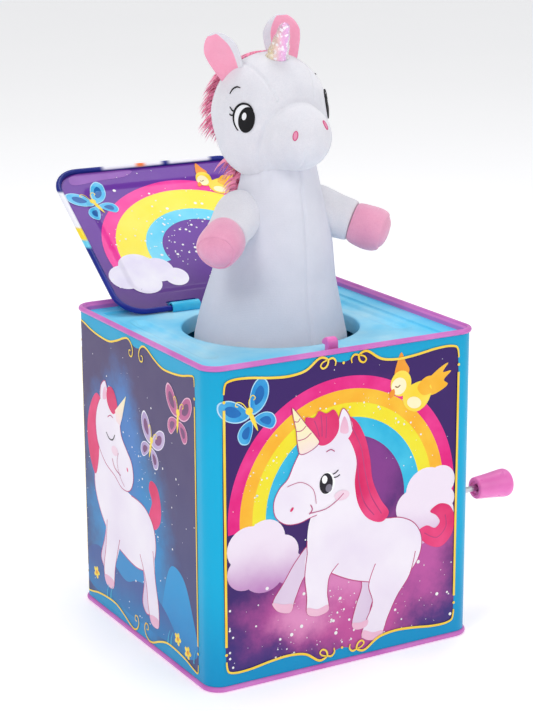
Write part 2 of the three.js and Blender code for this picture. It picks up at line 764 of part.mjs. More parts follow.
addMesh("movement_frame", movementFrame(), "steel");
rivetPlaces().forEach(([y, z], i) => addMesh(`frame_rivet_${i + 1}`, frameRivet(y, z), "steel"));
addMesh("comb_plate", combPlate(), "steel");
addMesh("comb_clamp", combClamp(), "brass");
combScrewPlaces().forEach((x, i) => addMesh(`comb_screw_${i + 1}`, combScrew(x), "brass"));
addMesh("drum_axle", rod("x", [DRUM.y, DRUM.z], AXLE_R, 43, 69, 12), "steel");
addMesh("melody_drum", melodyDrum(), "white_plastic");
addMesh("drum_gear", drumGear(), "brass");
addMesh("trip_cam", tripCam(), "white_plastic");

addMesh("spring_seat", springSeat(), "steel");
addMesh("main_spring", mainSpring(), "steel");
addMesh("skirt_hem_ring", hemRing(), "white_plastic");
addMesh("neck_disc", neckDisc(), "white_plastic");
addMesh("puppet_skirt", puppetSkirt(), "skirt_fabric");
addMesh("head", headBlock(0), "white_plush");
addMesh("horn", horn(), "glitter_fabric");
addMesh("mane", mane(), "fur");
for (const [side, word] of [[-1, "left"], [1, "right"]]) {
  addMesh(`ear_${word}`, ear(side), "white_plush");
  addMesh(`arm_${word}`, sleeve(side), "white_plush");
  addMesh(`hoof_${word}`, hoof(side), "pink_plush");
}

export default part;
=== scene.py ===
"""A tin jack-in-the-box with a plush unicorn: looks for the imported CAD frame. Metres, +Z up, front -Y."""

import json
import math
import random

import bmesh
import bpy
import numpy as np
from mathutils import Matrix, Vector, noise
from mathutils.bvhtree import BVHTree
from mathutils.geometry import tessellate_polygon


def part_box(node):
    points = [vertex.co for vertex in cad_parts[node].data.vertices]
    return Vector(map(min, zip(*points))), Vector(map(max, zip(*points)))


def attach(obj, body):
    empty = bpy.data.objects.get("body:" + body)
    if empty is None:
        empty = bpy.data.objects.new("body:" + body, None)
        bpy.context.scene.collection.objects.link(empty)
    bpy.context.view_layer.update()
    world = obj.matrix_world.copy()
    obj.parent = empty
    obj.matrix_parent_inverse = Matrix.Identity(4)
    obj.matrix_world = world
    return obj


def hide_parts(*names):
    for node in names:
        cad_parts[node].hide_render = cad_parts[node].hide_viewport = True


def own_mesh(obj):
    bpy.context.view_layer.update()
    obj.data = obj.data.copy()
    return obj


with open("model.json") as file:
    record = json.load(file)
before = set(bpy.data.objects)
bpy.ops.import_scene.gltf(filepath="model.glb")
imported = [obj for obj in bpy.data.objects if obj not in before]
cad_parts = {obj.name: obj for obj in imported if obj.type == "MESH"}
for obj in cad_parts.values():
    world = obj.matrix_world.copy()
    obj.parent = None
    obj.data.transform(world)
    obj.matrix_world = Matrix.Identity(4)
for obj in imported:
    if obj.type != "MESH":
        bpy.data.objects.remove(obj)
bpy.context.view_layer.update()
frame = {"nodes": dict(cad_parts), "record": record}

MM = 0.001
rng = random.Random(7)

# Millimetres. The tin's width, depth and height come from the CAD nodes. The sizes below them repeat the CAD's,
# but the seam beads are thinner, the emboss has a width for its slope and the skirt's top goes on into the head.
shell_high, deck_high = (np.array(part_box(node)[1]) / MM for node in ("body_shell", "deck_panel"))
W, D, H = shell_high[0] * 2, shell_high[1] * 2, deck_high[2]
CORNER = 8.0
BEAD = 1.25
SHEET = 0.8
LEDGE_Z = H - 3.8
PANEL_Z = H - 4.8
OPENING_R = 42.0
HINGE_Y, HINGE_Z = 47.8, 148.3
LID_HALF, LID_FRONT, LID_ROLL, LID_CORNER = 55.8, -52.7, 1.4, 15.0
LID_OPEN = math.radians(145.5)
EMBOSS = dict(inset=14.0, width=4.0, height=0.8, corner=8.0)
SKIRT = [(40, 4.8), (40.2, 60), (39.6, 110), (36.5, 143), (33.4, 157), (29.6, 172), (27, 187), (23.4, 201),
         (20, 212), (18.4, 219), (16.5, 227)]
LEAN = dict(x=2.0, y=-5.5, start=143.0, end=219.0)
TAB_X = 21  # the hinge tabs and the lid's slots, from the middle
CRANK_Y, CRANK_Z = -14, 74  # the crank shaft's axis
ARM_X, PIN_Y, PIN_Z = 80, -40, 61  # the crank arm's plane and the knob's axis
SPRING_LOW, SPRING_HIGH = 4.6, 204.5


# ---------------------------------------------------------------- node helpers


def srgb(code):
    """Linear RGBA from a hex colour."""
    parts = [int(code[i : i + 2], 16) / 255 for i in (0, 2, 4)]
    return [c / 12.92 if c <= 0.04045 else ((c + 0.055) / 1.055) ** 2.4 for c in parts] + [1.0]


class Shader:
    """A Principled material with short calls for the nodes that feed it."""

    def __init__(self, name, **sockets):
        self.material = bpy.data.materials.new(name)
        self.material.use_nodes = True
        self.tree = self.material.node_tree
        self.bsdf = self.tree.nodes["Principled BSDF"]
        for key, value in sockets.items():
            self.bsdf.inputs[key.replace("_", " ")].default_value = value
        self.coords = self.tree.nodes.new("ShaderNodeTexCoord").outputs["Object"]

    def node(self, kind, links=(), **values):
        made = self.tree.nodes.new("ShaderNode" + kind)
        for key, value in values.items():
            setattr(made, key, value)
        for socket, source in dict(links).items():
            if isinstance(source, bpy.types.NodeSocket):
                self.tree.links.new(source, made.inputs[socket])
            else:
                made.inputs[socket].default_value = source
        return made

    def noise(self, scale, detail=3.0, coords=None, rough=0.5):
        links = {"Vector": coords or self.coords, "Scale": scale, "Detail": detail, "Roughness": rough}
        return self.node("TexNoise", links).outputs["Fac"]

    def ramp(self, fac, stops):
        made = self.node("ValToRGB", {"Fac": fac})
        elements = made.color_ramp.elements
        while len(elements) < len(stops):
            elements.new(0.5)
        for element, (place, colour) in zip(elements, stops):
            element.position = place
            element.color = srgb(colour) if isinstance(colour, str) else [colour] * 3 + [1]
        return made.outputs["Color"]

    def mix(self, fac, a, b, blend="MIX"):
        made = self.tree.nodes.new("ShaderNodeMix")
        made.data_type = "RGBA"
        made.blend_type = blend
        for index, value in ((0, fac), (6, a), (7, b)):
            value = srgb(value) if isinstance(value, str) else value
            if isinstance(value, bpy.types.NodeSocket):
                self.tree.links.new(value, made.inputs[index])
            else:
                made.inputs[index].default_value = value
        return made.outputs[2]

    def math(self, operation, a, b=0.0):
        return self.node("Math", {0: a, 1: b}, operation=operation).outputs[0]

    def axis(self, name):
        return self.node("SeparateXYZ", {"Vector": self.coords}).outputs[name]

    def span(self, value, low, high, smooth=True):
        """0 at low and 1 at high, in millimetres of the row frame."""
        links = {"Value": value, "From Min": low * MM, "From Max": high * MM}
        kind = "SMOOTHSTEP" if smooth else "LINEAR"
        return self.node("MapRange", links, interpolation_type=kind).outputs[0]

    def band(self, value, low, high, soft):
        """1 between low and high, with soft ends."""
        rise = self.span(value, low - soft, low + soft)
        return self.math("MULTIPLY", rise, self.span(value, high + soft, high - soft))

    def distance(self, point, stretch=(1, 1, 1)):
        """Distance in metres from a point in millimetres, with the axes stretched."""
        place = [c * MM for c in point]
        away = self.node("VectorMath", {0: self.coords, 1: place}, operation="SUBTRACT").outputs[0]
        scaled = self.node("VectorMath", {0: away, 1: stretch}, operation="MULTIPLY").outputs[0]
        return self.node("VectorMath", {0: scaled}, operation="LENGTH").outputs["Value"]

    def bump(self, height, strength, distance):
        links = {"Height": height, "Strength": strength, "Distance": distance * MM}
        if self.bsdf.inputs["Normal"].is_linked:
            links["Normal"] = self.bsdf.inputs["Normal"].links[0].from_socket
        self.feed("Normal", self.node("Bump", links).outputs["Normal"])

    def feed(self, socket, source):
        self.tree.links.new(source, self.bsdf.inputs[socket])


def finish_print(shader, colour):
    """Lithographed tinplate: the ink's slight mottle, rolling waviness in the sheet and a glossy varnish."""
    shader.bsdf.inputs["Coat Weight"].default_value = 0.16
    shader.bsdf.inputs["Coat Roughness"].default_value = 0.1
    shader.bsdf.inputs["Specular IOR Level"].default_value = 0.14
    mottle = shader.math("MULTIPLY", shader.noise(900, 4), 0.1)
    shader.feed("Base Color", shader.mix(mottle, colour, "5A4A80", "SOFT_LIGHT"))
    rough = shader.ramp(shader.noise(60, 5), [(0.3, 0.3), (0.75, 0.42)])
    shader.feed("Roughness", rough)
    shader.bump(shader.noise(28, 2), 0.12, 0.25)
    shader.bump(shader.noise(2600, 2), 0.05, 0.02)


def ink(name, base, tint, patch=60):
    """A printed colour that drifts towards its tint in soft patches, as an airbrushed picture does."""
    shader = Shader("ink_" + name)
    drift = shader.ramp(shader.noise(patch, 3), [(0.35, 0.0), (0.7, 1.0)])
    finish_print(shader, shader.mix(drift, base, tint))
    return shader.material


def faded_ink(name, base, to, along, low, high):
    """A printed colour that fades into another along an axis of the tin."""
    shader = Shader("ink_" + name)
    wobble = shader.math("MULTIPLY", shader.noise(70, 4), 12 * MM)
    place = shader.math("ADD", shader.axis(along), wobble)
    finish_print(shader, shader.mix(shader.span(place, low, high), base, to))
    return shader.material


def night_sky_ink():
    """The front picture's sky: deep purple, a magenta glow under the hooves and within the rainbow."""
    shader = Shader("ink_night_sky")
    cloudy = shader.math("MULTIPLY", shader.noise(42, 6, rough=0.62), 0.034)
    sky = shader.mix(shader.span(shader.axis("Z"), 10, 60), "42307A", "3A1C66")
    clouds = [
        ((-26, 0, 32), (0.75, 0, 1.1), -12, 10, "B8509A", 1.0),
        ((8, 0, 26), (0.62, 0, 1.0), -14, 9, "C4569C", 1.0),
        ((40, 0, 48), (1.1, 0, 0.72), -14, 8, "BE58A2", 1.0),
        ((2, 0, 46), (0.66, 0, 1.2), -9, 12, "E08CC0", 0.85),
        ((-22, 0, 27), (0.9, 0, 1.6), -6, 14, "E79CC8", 0.8),
        ((10, 0, 92), (1, 0, 0.8), -20, 10, "8E3F92", 0.85),
    ]
    for middle, stretch, low, high, tone, share in clouds:
        glow = shader.math("SUBTRACT", cloudy, shader.distance(middle, stretch))
        sky = shader.mix(shader.math("MULTIPLY", shader.span(glow, low, high), share), sky, tone)
    finish_print(shader, sky)
    return shader.material


def dusk_sky_ink():
    """The side picture's sky: slate purple with a blue light behind the animal."""
    shader = Shader("ink_dusk_sky")
    cloudy = shader.math("MULTIPLY", shader.noise(40, 6, rough=0.62), 0.034)
    sky = shader.mix(shader.span(shader.axis("Z"), 20, 120), "3E4478", "4A3C6C")
    for middle, stretch, low, high, tone in (
        ((0, 14, 44), (0, 0.8, 0.62), -30, -4, "1E8AC8"),
        ((0, 26, 88), (0, 1.0, 0.7), -20, 2, "3F7CC2"),
    ):
        glow = shader.math("SUBTRACT", cloudy, shader.distance(middle, stretch))
        sky = shader.mix(shader.span(glow, low, high), sky, tone)
    finish_print(shader, sky)
    return shader.material


def varnished_blue():
    """The tin's cyan border: painted shade darkens it towards the bottom seam and a little towards the top one,
    leaving a lighter middle as a painted highlight.
    """
    shader = Shader("tin_border_blue")
    height = shader.axis("Z")
    # painted shade towards the bottom seam, painted highlight above it
    colour = shader.mix(shader.span(height, 0, 60), "0094C8", "00AEDA")
    # painted shade again towards the top seam
    colour = shader.mix(shader.span(height, 110, 150), colour, "02A6D2")
    finish_print(shader, colour)
    return shader.material


def deck_blue():
    """The deck's light blue print, cloudier near the corners, with a pink bead and inner wall."""
    shader = Shader("tin_deck")
    cloud = shader.ramp(shader.noise(26, 4), [(0.3, 0.0), (0.72, 1.0)])
    blue = shader.mix(cloud, "50CDF7", "C2EFFD")
    edge = shader.distance((0, 0, 0), (1, 1, 0))
    blue = shader.mix(shader.span(edge, 46, 92), blue, "58CFF6")
    low = shader.span(shader.axis("Z"), LEDGE_Z + 0.15, LEDGE_Z + 0.45)
    finish_print(shader, shader.mix(low, blue, "D67CC8"))
    return shader.material


def seam_pink():
    shader = Shader("tin_seam_pink")
    worn = shader.ramp(shader.noise(45, 5), [(0.35, 0.0), (0.8, 1.0)])
    finish_print(shader, shader.mix(worn, "C968BC", "DE8ED4"))
    return shader.material


def lid_roll_ink():
    """The lid's rolled edge, where the outside picture wraps over: navy, then cloud white and rainbow."""
    shader = Shader("tin_lid_roll")
    side = shader.node("Math", {0: shader.axis("X")}, operation="ABSOLUTE").outputs[0]
    height = shader.axis("Z")
    colour = shader.mix(shader.noise(30, 3), "16206E", "24339E")
    for low, high, tone in ((182, 197, "F2F2FA"), (177, 182.5, "FBE03A"), (174.5, 177.5, "6FD3F0")):
        band = shader.band(height, low, high, 0.7)
        band = shader.math("MULTIPLY", band, shader.span(side, 50, 52))
        colour = shader.mix(band, colour, tone)
    crest = shader.span(height, 203.5, 204.8)
    for low, high, tone in ((-26, 8, "F2F2FA"), (-7, -2, "F5803E"), (12, 36, "F2F2FA")):
        band = shader.band(shader.axis("X"), low, high, 2)
        colour = shader.mix(shader.math("MULTIPLY", band, crest), colour, tone)
    finish_print(shader, colour)
    return shader.material


def plush(name, base, shade, pile=0.5, rub=0.35):
    """Short-pile knitted plush: fine pile fibres, soft nap patches and a fuzzy sheen at grazing angles."""
    shader = Shader(name, Roughness=0.95, Sheen_Weight=0.55, Sheen_Roughness=0.45, Sheen_Tint=(1, 1, 1, 1),
                    Subsurface_Weight=0.12, Subsurface_Radius=(0.004, 0.003, 0.003), Subsurface_Scale=0.5)
    nap = shader.ramp(shader.noise(75, 5, rough=0.62), [(0.32, 0.0), (0.72, 1.0)])
    fibre = shader.noise(1700, 6, rough=0.7)
    colour = shader.mix(shader.math("MULTIPLY", nap, rub), base, shade)
    speck = shader.math("MULTIPLY", shader.ramp(fibre, [(0.42, 0.0), (0.66, 1.0)]), 0.28)
    shader.feed("Base Color", shader.mix(speck, colour, shade))
    shader.bump(nap, 0.25, 0.5)
    shader.bump(fibre, pile, 0.35)
    return shader.material


def knit(name, base, shade):
    """Thin knitted polyester: rows of small stitches round the cone, a faint crease here and there."""
    shader = Shader(name, Roughness=0.85, Sheen_Weight=0.4, Sheen_Roughness=0.4, Sheen_Tint=(0.9, 0.92, 1, 1))
    rows = shader.node("TexWave", {"Vector": shader.coords, "Scale": 420.0, "Distortion": 1.2, "Detail": 1.0},
                       bands_direction="Z").outputs["Fac"]
    nap = shader.ramp(shader.noise(55, 6, rough=0.65), [(0.3, 0.0), (0.75, 1.0)])
    fibre = shader.noise(1500, 5, rough=0.7)
    colour = shader.mix(shader.math("MULTIPLY", nap, 0.45), base, shade)
    shader.feed("Base Color", shader.mix(shader.math("MULTIPLY", fibre, 0.3), colour, shade))
    shader.bump(rows, 0.12, 0.12)
    shader.bump(fibre, 0.4, 0.25)
    return shader.material


def thread(name, base, shade):
    """Satin-stitched embroidery: close parallel threads with a slight shine."""
    shader = Shader(name, Roughness=0.6, Specular_IOR_Level=0.25)
    stitches = shader.node("TexWave", {"Vector": shader.coords, "Scale": 900.0, "Distortion": 0.8},
                           bands_direction="Z").outputs["Fac"]
    shader.feed("Base Color", shader.mix(stitches, base, shade))
    shader.bump(stitches, 0.5, 0.12)
    return shader.material


def fur_material():
    """Long pink faux fur: deeper at the roots, paler at the tips, each lock a little different."""
    shader = Shader("fur_pink", Roughness=0.7, Sheen_Weight=0.6, Sheen_Tint=(1, 0.8, 0.9, 1))
    reach = shader.distance((1, 6, 243), (1.05, 0.93, 0.74))
    tip = shader.span(reach, 27, 36)
    root = shader.mix(shader.noise(260, 3), "FF82AC", "FFA6C5")
    pale = shader.mix(shader.noise(320, 3), "FFCCDC", "FFEAF0")
    shader.feed("Base Color", shader.mix(tip, root, pale))
    return shader.material


def glitter_material():
    """Metallised horn fabric with mirror flecks that catch the light; the gold, pink, lilac and grey swept across X
    are painted reflections fixed to the sides of the horn.
    """
    shader = Shader("horn_glitter", Metallic=0.35, Coat_Weight=0.5, Coat_Roughness=0.15)
    cells = shader.node("TexVoronoi", {"Vector": shader.coords, "Scale": 900.0}, feature="F1")
    fleck = shader.node("SeparateColor", {"Color": cells.outputs["Color"]}).outputs
    # painted reflections: the colour is tied to the horn's sides, gold on -X through pink to grey on +X
    across = shader.span(shader.axis("X"), -6, 6, smooth=False)
    reflection_stops = [(0.05, "EBDDAA"), (0.2, "F0CDBE"), (0.34, "F2B6D8"), (0.56, "ECB0E2"), (0.66, "D8D4D4"),
               (1.0, "E6E2D8")]
    base = shader.ramp(across, reflection_stops)
    bright = shader.ramp(fleck["Red"], [(0.72, 0.0), (0.86, 1.0)])
    colour = shader.mix(shader.math("MULTIPLY", bright, 0.85), base, "FFFFFF")
    shader.feed("Base Color", shader.mix(shader.math("MULTIPLY", fleck["Blue"], 0.2), colour, "BE9CDC"))
    shader.feed("Roughness", shader.ramp(fleck["Green"], [(0.2, 0.16), (0.9, 0.5)]))
    shader.bump(cells.outputs["Distance"], 0.5, 0.25)
    return shader.material


def plastic(name, base, shade):
    """Moulded plastic: faint flow marks and a fine orange-peel texture."""
    rough = 0.32
    shader = Shader(name, Subsurface_Weight=0.15, Subsurface_Radius=(0.003, 0.0015, 0.002), Coat_Weight=0.15,
                    Coat_Roughness=0.2)
    flow = shader.ramp(shader.noise(90, 3), [(0.35, 0.0), (0.7, 1.0)])
    shader.feed("Base Color", shader.mix(flow, base, shade))
    shader.feed("Roughness", shader.ramp(shader.noise(240, 4), [(0.3, rough - 0.06), (0.7, rough + 0.1)]))
    shader.bump(shader.noise(1500, 3), 0.1, 0.05)
    return shader.material


def metal(name, base, shade):
    """Plated steel or brass with drawing or rolling lines along X and a little tarnish."""
    rough = 0.3
    shader = Shader(name, Metallic=1.0)
    long = shader.node("VectorMath", {0: shader.coords, 1: (0.05, 1, 1)}, operation="MULTIPLY").outputs[0]
    lines = shader.noise(2200, 4, long)
    tarnish = shader.ramp(shader.noise(120, 5), [(0.4, 0.0), (0.8, 1.0)])
    shader.feed("Base Color", shader.mix(shader.math("MULTIPLY", tarnish, 0.6), base, shade))
    shader.feed("Roughness", shader.ramp(lines, [(0.3, rough - 0.1), (0.7, rough + 0.15)]))
    shader.bump(lines, 0.15, 0.03)
    return shader.material


# ---------------------------------------------------------------- mesh helpers


def new_object(name, verts, faces, materials, smooth=True, indexes=None):
    """A mesh object from points in millimetres."""
    mesh = bpy.data.meshes.new(name)
    mesh.from_pydata([tuple(c * MM for c in v) for v in verts], [], faces)
    for material in materials:
        mesh.materials.append(material)
    if indexes is not None:
        mesh.polygons.foreach_set("material_index", indexes)
    mesh.polygons.foreach_set("use_smooth", [smooth] * len(mesh.polygons))
    mesh.update()
    made = bpy.data.objects.new(name, mesh)
    bpy.context.scene.collection.objects.link(made)
    return made


def select_only(obj):
    for other in bpy.context.selected_objects:
        other.select_set(False)
    obj.select_set(True)
    bpy.context.view_layer.objects.active = obj


def apply_modifiers(obj):
    select_only(obj)
    for modifier in list(obj.modifiers):
        bpy.ops.object.modifier_apply(modifier=modifier.name)
    return obj


def subdivide(obj):
    modifier = obj.modifiers.new("fine", "SUBSURF")
    modifier.levels = modifier.render_levels = 1
    return apply_modifiers(obj)


def recalc(obj):
    mesh = bmesh.new()
    mesh.from_mesh(obj.data)
    bmesh.ops.recalc_face_normals(mesh, faces=mesh.faces)
    mesh.to_mesh(obj.data)
    mesh.free()
    return obj


def ring_faces(rings, count, closed=False):
    """The four-sided faces between each ring of points and the next; closed joins the last to the first."""
    faces = []
    for j in range(rings if closed else rings - 1):
        k = (j + 1) % rings
        for i in range(count):
            n = (i + 1) % count
            faces.append((j * count + i, j * count + n, k * count + n, k * count + i))
    return faces


def ring_caps(rings, count):
    """The two faces that fill the first and the last ring."""
    return [tuple(range(count))[::-1], tuple((rings - 1) * count + i for i in range(count))]


def loft(name, loops, materials, cap=False, closed_profile=False, face_material=None):
    """Faces between loops of equal length; cap fills both ends."""
    count = len(loops[0])
    verts = [p for loop in loops for p in loop]
    faces = ring_faces(len(loops), count, closed_profile)
    indexes = [face_material(i // count) if face_material else 0 for i in range(len(faces))]
    if cap:
        faces += ring_caps(len(loops), count)
        indexes += [0, 0]
    return recalc(new_object(name, verts, faces, materials, indexes=indexes))


def cut_away(obj, cutters, solver="EXACT"):
    """Cut each cutter out of a mesh, and delete it."""
    for cutter in cutters:
        cut = obj.modifiers.new("cut", "BOOLEAN")
        cut.object = cutter
        cut.solver = solver
    apply_modifiers(obj)
    for cutter in cutters:
        bpy.data.objects.remove(cutter)


def smooth_by_angle(obj, degrees=35):
    select_only(obj)
    bpy.ops.object.shade_smooth_by_angle(angle=math.radians(degrees))


def oval_outline(a, b, x=0.0, y=0.0, turn=0.0, count=16):
    c, s = math.cos(math.radians(turn)), math.sin(math.radians(turn))
    ring = [(a * math.cos(2 * math.pi * i / count), b * math.sin(2 * math.pi * i / count)) for i in range(count)]
    return [(x + p * c - q * s, y + p * s + q * c) for p, q in ring]


def rect_loop(inset, z, half_x, half_y, radius, centre_y=0.0, corner=14, edge=12):
    """A rounded rectangle pulled in by inset, with points along its edges too."""
    r = max(radius - inset, 0.5)
    hx, hy = half_x - inset - r, half_y - inset - r
    arcs = [(hx, hy, 0), (-hx, hy, 1), (-hx, -hy, 2), (hx, -hy, 3)]
    points = []
    for index, (cx, cy, quarter) in enumerate(arcs):
        for i in range(corner + 1):
            angle = (quarter + i / corner) * math.pi / 2
            points.append((cx + r * math.cos(angle), centre_y + cy + r * math.sin(angle), z))
        ax, ay = points[-1][:2]
        nx, ny, nq = arcs[(index + 1) % 4]
        bx, by = nx + r * math.cos(nq * math.pi / 2), centre_y + ny + r * math.sin(nq * math.pi / 2)
        points += [(ax + (bx - ax) * i / edge, ay + (by - ay) * i / edge, z) for i in range(1, edge)]
    return points


def bead_points(inset, z, radius, start, end, steps):
    """Profile points round a seam bead, as (inset, z)."""
    turn = [math.radians(start + (end - start) * i / steps) for i in range(steps + 1)]
    return [(inset - radius * math.cos(a), z + radius * math.sin(a)) for a in turn]


def fillet(a, b, c, radius, steps=4):
    """The corner at b of a profile, rounded."""
    a, b, c = (np.array(p, float) for p in (a, b, c))
    p = b + (a - b) / np.linalg.norm(a - b) * radius
    q = b + (c - b) / np.linalg.norm(c - b) * radius
    return [tuple((1 - t) ** 2 * p + 2 * t * (1 - t) * b + t * t * q) for t in np.linspace(0, 1, steps + 1)]


def smoothstep(x, low, high):
    t = np.clip((x - low) / (high - low), 0, 1)
    return t * t * (3 - 2 * t)


def spline(points, closed=True, steps=6):
    """Centripetal Catmull-Rom curve through 2-D or 3-D points, which doesn't overshoot at corners."""
    p = [np.array(q, float) for q in points]
    n = len(p)
    out = []
    for i in range(n if closed else n - 1):
        a, b, c, d = (p[(i + k) % n] if closed else p[min(max(i + k, 0), n - 1)] for k in (-1, 0, 1, 2))
        ta, tb, tc = (max(np.linalg.norm(v - u), 1e-4) ** 0.5 for u, v in ((a, b), (b, c), (c, d)))
        leave = tb * ((b - a) / ta - (c - a) / (ta + tb) + (c - b) / tb)
        arrive = tb * ((c - b) / tb - (d - b) / (tb + tc) + (d - c) / tc)
        for t in (k / steps for k in range(steps)):
            out.append(
                (2 * t**3 - 3 * t**2 + 1) * b + (t**3 - 2 * t**2 + t) * leave
                + (3 * t**2 - 2 * t**3) * c + (t**3 - t**2) * arrive
            )
    return out if closed else out + [p[-1]]


def tube(name, path, radius, material, sides=10, taper=None):
    """A round tube along points in millimetres, closed at both ends."""
    path = [Vector(p) for p in path]
    normal = None
    loops = []
    for i, p in enumerate(path):
        along = (path[min(i + 1, len(path) - 1)] - path[max(i - 1, 0)]).normalized()
        if normal is None:
            normal = along.orthogonal().normalized()
        normal = (normal - along * normal.dot(along)).normalized()
        side = along.cross(normal)
        r = radius * (taper(i / (len(path) - 1)) if taper else 1)
        loops.append([
            tuple(p + r * (math.cos(a) * normal + math.sin(a) * side))
            for a in (2 * math.pi * k / sides for k in range(sides))
        ])
    return loft(name, loops, [material], cap=True)


def join_objects(name, objects):
    select_only(objects[0])
    for obj in objects[1:]:
        obj.select_set(True)
    bpy.ops.object.join()
    objects[0].name = name
    objects[0].data.name = name
    return objects[0]


def place(obj, body, slot, *nodes):
    """The piece rides on its body and stands for the CAD nodes given, which it hides; slot is not used."""
    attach(obj, body)
    if nodes:
        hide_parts(*nodes)
    return obj


# ---------------------------------------------------------------- tin


def tin_body(material):
    z0, z1 = 2 * BEAD + 0.1, H - 2 * BEAD - 0.1
    profile = [(0, z0), *[(0, z0 + (z1 - z0) * i / 8) for i in range(1, 8)], (0, z1), (SHEET, z1), (SHEET, z0)]
    loops = [rect_loop(inset, z, W / 2, D / 2, CORNER) for inset, z in profile]
    body = loft("tin_body_shell", loops, [material], closed_profile=True)
    hole = tube("hole", [(60, CRANK_Y, CRANK_Z), (80, CRANK_Y, CRANK_Z)], 4.2, material, 24)
    cut_away(body, [hole])
    smooth_by_angle(body)
    return place(body, "box", "printed_tin", "body_shell")


def tin_base(pink):
    bead = bead_points(0.2, BEAD, BEAD, -90, 200, 18)
    rest = [(1.9, 5.5), (2.3, 7), (2.6, 7), (2.4, 1.4), *fillet((2.4, 4), (2.6, 0.9), (12, 0.9), 0.6), (14, 0.9)]
    profile = bead + rest
    loops = [rect_loop(inset, z, W / 2, D / 2, CORNER) for inset, z in profile]
    loops.append([(x * 0.02, y * 0.02, 0.9) for x, y, _ in loops[-1]])
    under = [rect_loop(inset, 0.02, W / 2, D / 2, CORNER) for inset in (1.2, 14)]
    under.append([(x * 0.02, y * 0.02, 0.02) for x, y, _ in under[-1]])
    top = loft("tin_base_panel", under[::-1] + loops, [pink], cap=True)
    smooth_by_angle(top, 40)
    return place(top, "box", "deck_tin", "base_panel")


def groove_depth(x, y):
    """How deep the two pressed grooves are at a point of the deck."""
    half_run = 38 - 4.5
    reach = np.hypot(abs(x) - 51.5, max(abs(y) - half_run, 0))
    return 1.3 * (1 - smoothstep(reach, 2.6, 4.6))


def curled_tab(side, material):
    """A hinge tab: up from the deck and curled over the lid's rolled edge."""
    inner, outer = 2.15, 2.85
    turn = [math.radians(215 * i / 24) for i in range(25)]
    far = [(HINGE_Y + outer * math.cos(a), HINGE_Z + outer * math.sin(a)) for a in turn]
    near = [(HINGE_Y + inner * math.cos(a), HINGE_Z + inner * math.sin(a)) for a in turn]
    foot_out = [(HINGE_Y + outer + 1.2, PANEL_Z + 0.05), (HINGE_Y + outer + 0.3, PANEL_Z + 0.35)]
    foot_in = [(HINGE_Y + inner, PANEL_Z + 0.2), (HINGE_Y + inner, PANEL_Z - 0.6)]
    outline = [(HINGE_Y + outer + 1.2, PANEL_Z - 0.6), *foot_out, *far, *near[::-1], *foot_in]
    loops = []
    for t in (0, 0.04, 0.96, 1):
        pinch = 0.06 if t in (0, 1) else 0
        middle = np.mean(outline, axis=0)
        loops.append([
            (side * TAB_X - 7.5 + 15 * t, y + (middle[0] - y) * pinch * 0.2, z + (middle[1] - z) * pinch * 0.2)
            for y, z in outline
        ])
    tab = loft("tab", loops, [material], cap=True)
    smooth_by_angle(tab, 30)
    return tab


def tin_deck(blue, pink, tab_blue):
    hx, hy = W / 2, D / 2
    outer = bead_points(0.2, H - BEAD, BEAD, -150, 160, 22)
    wall = fillet((1.75, H - 1), (2.4, H - 1.6), (2.4, LEDGE_Z + 1), 0.4)
    ledge = fillet((2.4, LEDGE_Z + 1), (2.4, LEDGE_Z), (6, LEDGE_Z), 0.5)
    step = fillet((6, LEDGE_Z), (10, LEDGE_Z), (10.4, PANEL_Z), 0.35)
    foot = fillet((10.1, LEDGE_Z), (10.5, PANEL_Z), (14, PANEL_Z), 0.4)
    profile = outer + wall + ledge + step + foot
    loops = [rect_loop(inset, z, hx, hy, CORNER, corner=12, edge=30) for inset, z in profile]
    bead_rows = len(outer) - 1
    start = np.array(loops[-1])
    rim = np.array([
        (OPENING_R * math.cos(a), OPENING_R * math.sin(a), PANEL_Z) for a in np.arctan2(start[:, 1], start[:, 0])
    ])
    for t in np.linspace(0, 1, 34)[1:]:
        ring = start + (rim * (1 + 0.9 / OPENING_R * np.array([1, 1, 0])) - start) * t
        loops.append([(x, y, PANEL_Z - groove_depth(x, y)) for x, y, _ in ring])
    for drop, grow in ((0.15, 0.45), (0.5, 0.12), (1.0, 0), (4, 0), (8, 0), (8, SHEET), (1.5, SHEET)):
        loops.append([(x * (1 + grow / OPENING_R), y * (1 + grow / OPENING_R), PANEL_Z - drop) for x, y, _ in rim])
    deck = loft("deck", loops, [blue, pink], face_material=lambda j: 1 if j < bead_rows else 0)
    latch_slot = loft("cutter", [rect_loop(0, z, 3.6, 4.6, 0.8, -57.6, 4, 2) for z in (143, 149)], [blue], cap=True)
    cut_away(deck, [latch_slot], "FAST")
    smooth_by_angle(deck, 40)
    whole = join_objects("tin_deck_panel", [deck, *(curled_tab(side, tab_blue) for side in (-1, 1))])
    return place(whole, "box", "deck_tin", "deck_panel")


# ---------------------------------------------------------------- lid

LID_BACK = HINGE_Y + LID_ROLL
LID_MIDDLE = (LID_BACK + LID_FRONT) / 2
LID_HALF_Y = (LID_BACK - LID_FRONT) / 2
LID_TOP = HINGE_Z + LID_ROLL


def emboss_rise(x, y):
    """Height of the lid's pressed rectangle above the sheet round it."""
    hx = LID_HALF - EMBOSS["inset"] - EMBOSS["corner"]
    hy = LID_HALF_Y - EMBOSS["inset"] - EMBOSS["corner"]
    qx, qy = abs(x) - hx, abs(y - LID_MIDDLE) - hy
    out = math.hypot(max(qx, 0), max(qy, 0)) + min(max(qx, qy), 0) - EMBOSS["corner"]
    return EMBOSS["height"] * (1 - smoothstep(out, -EMBOSS["width"] / 2, EMBOSS["width"] / 2))


def opened(x, y, z):
    """A point of the closed lid, moved to the open lid."""
    dy, dz = y - HINGE_Y, z - HINGE_Z
    c, s = math.cos(-LID_OPEN), math.sin(-LID_OPEN)
    return (x, HINGE_Y + dy * c - dz * s, HINGE_Z + dy * s + dz * c)


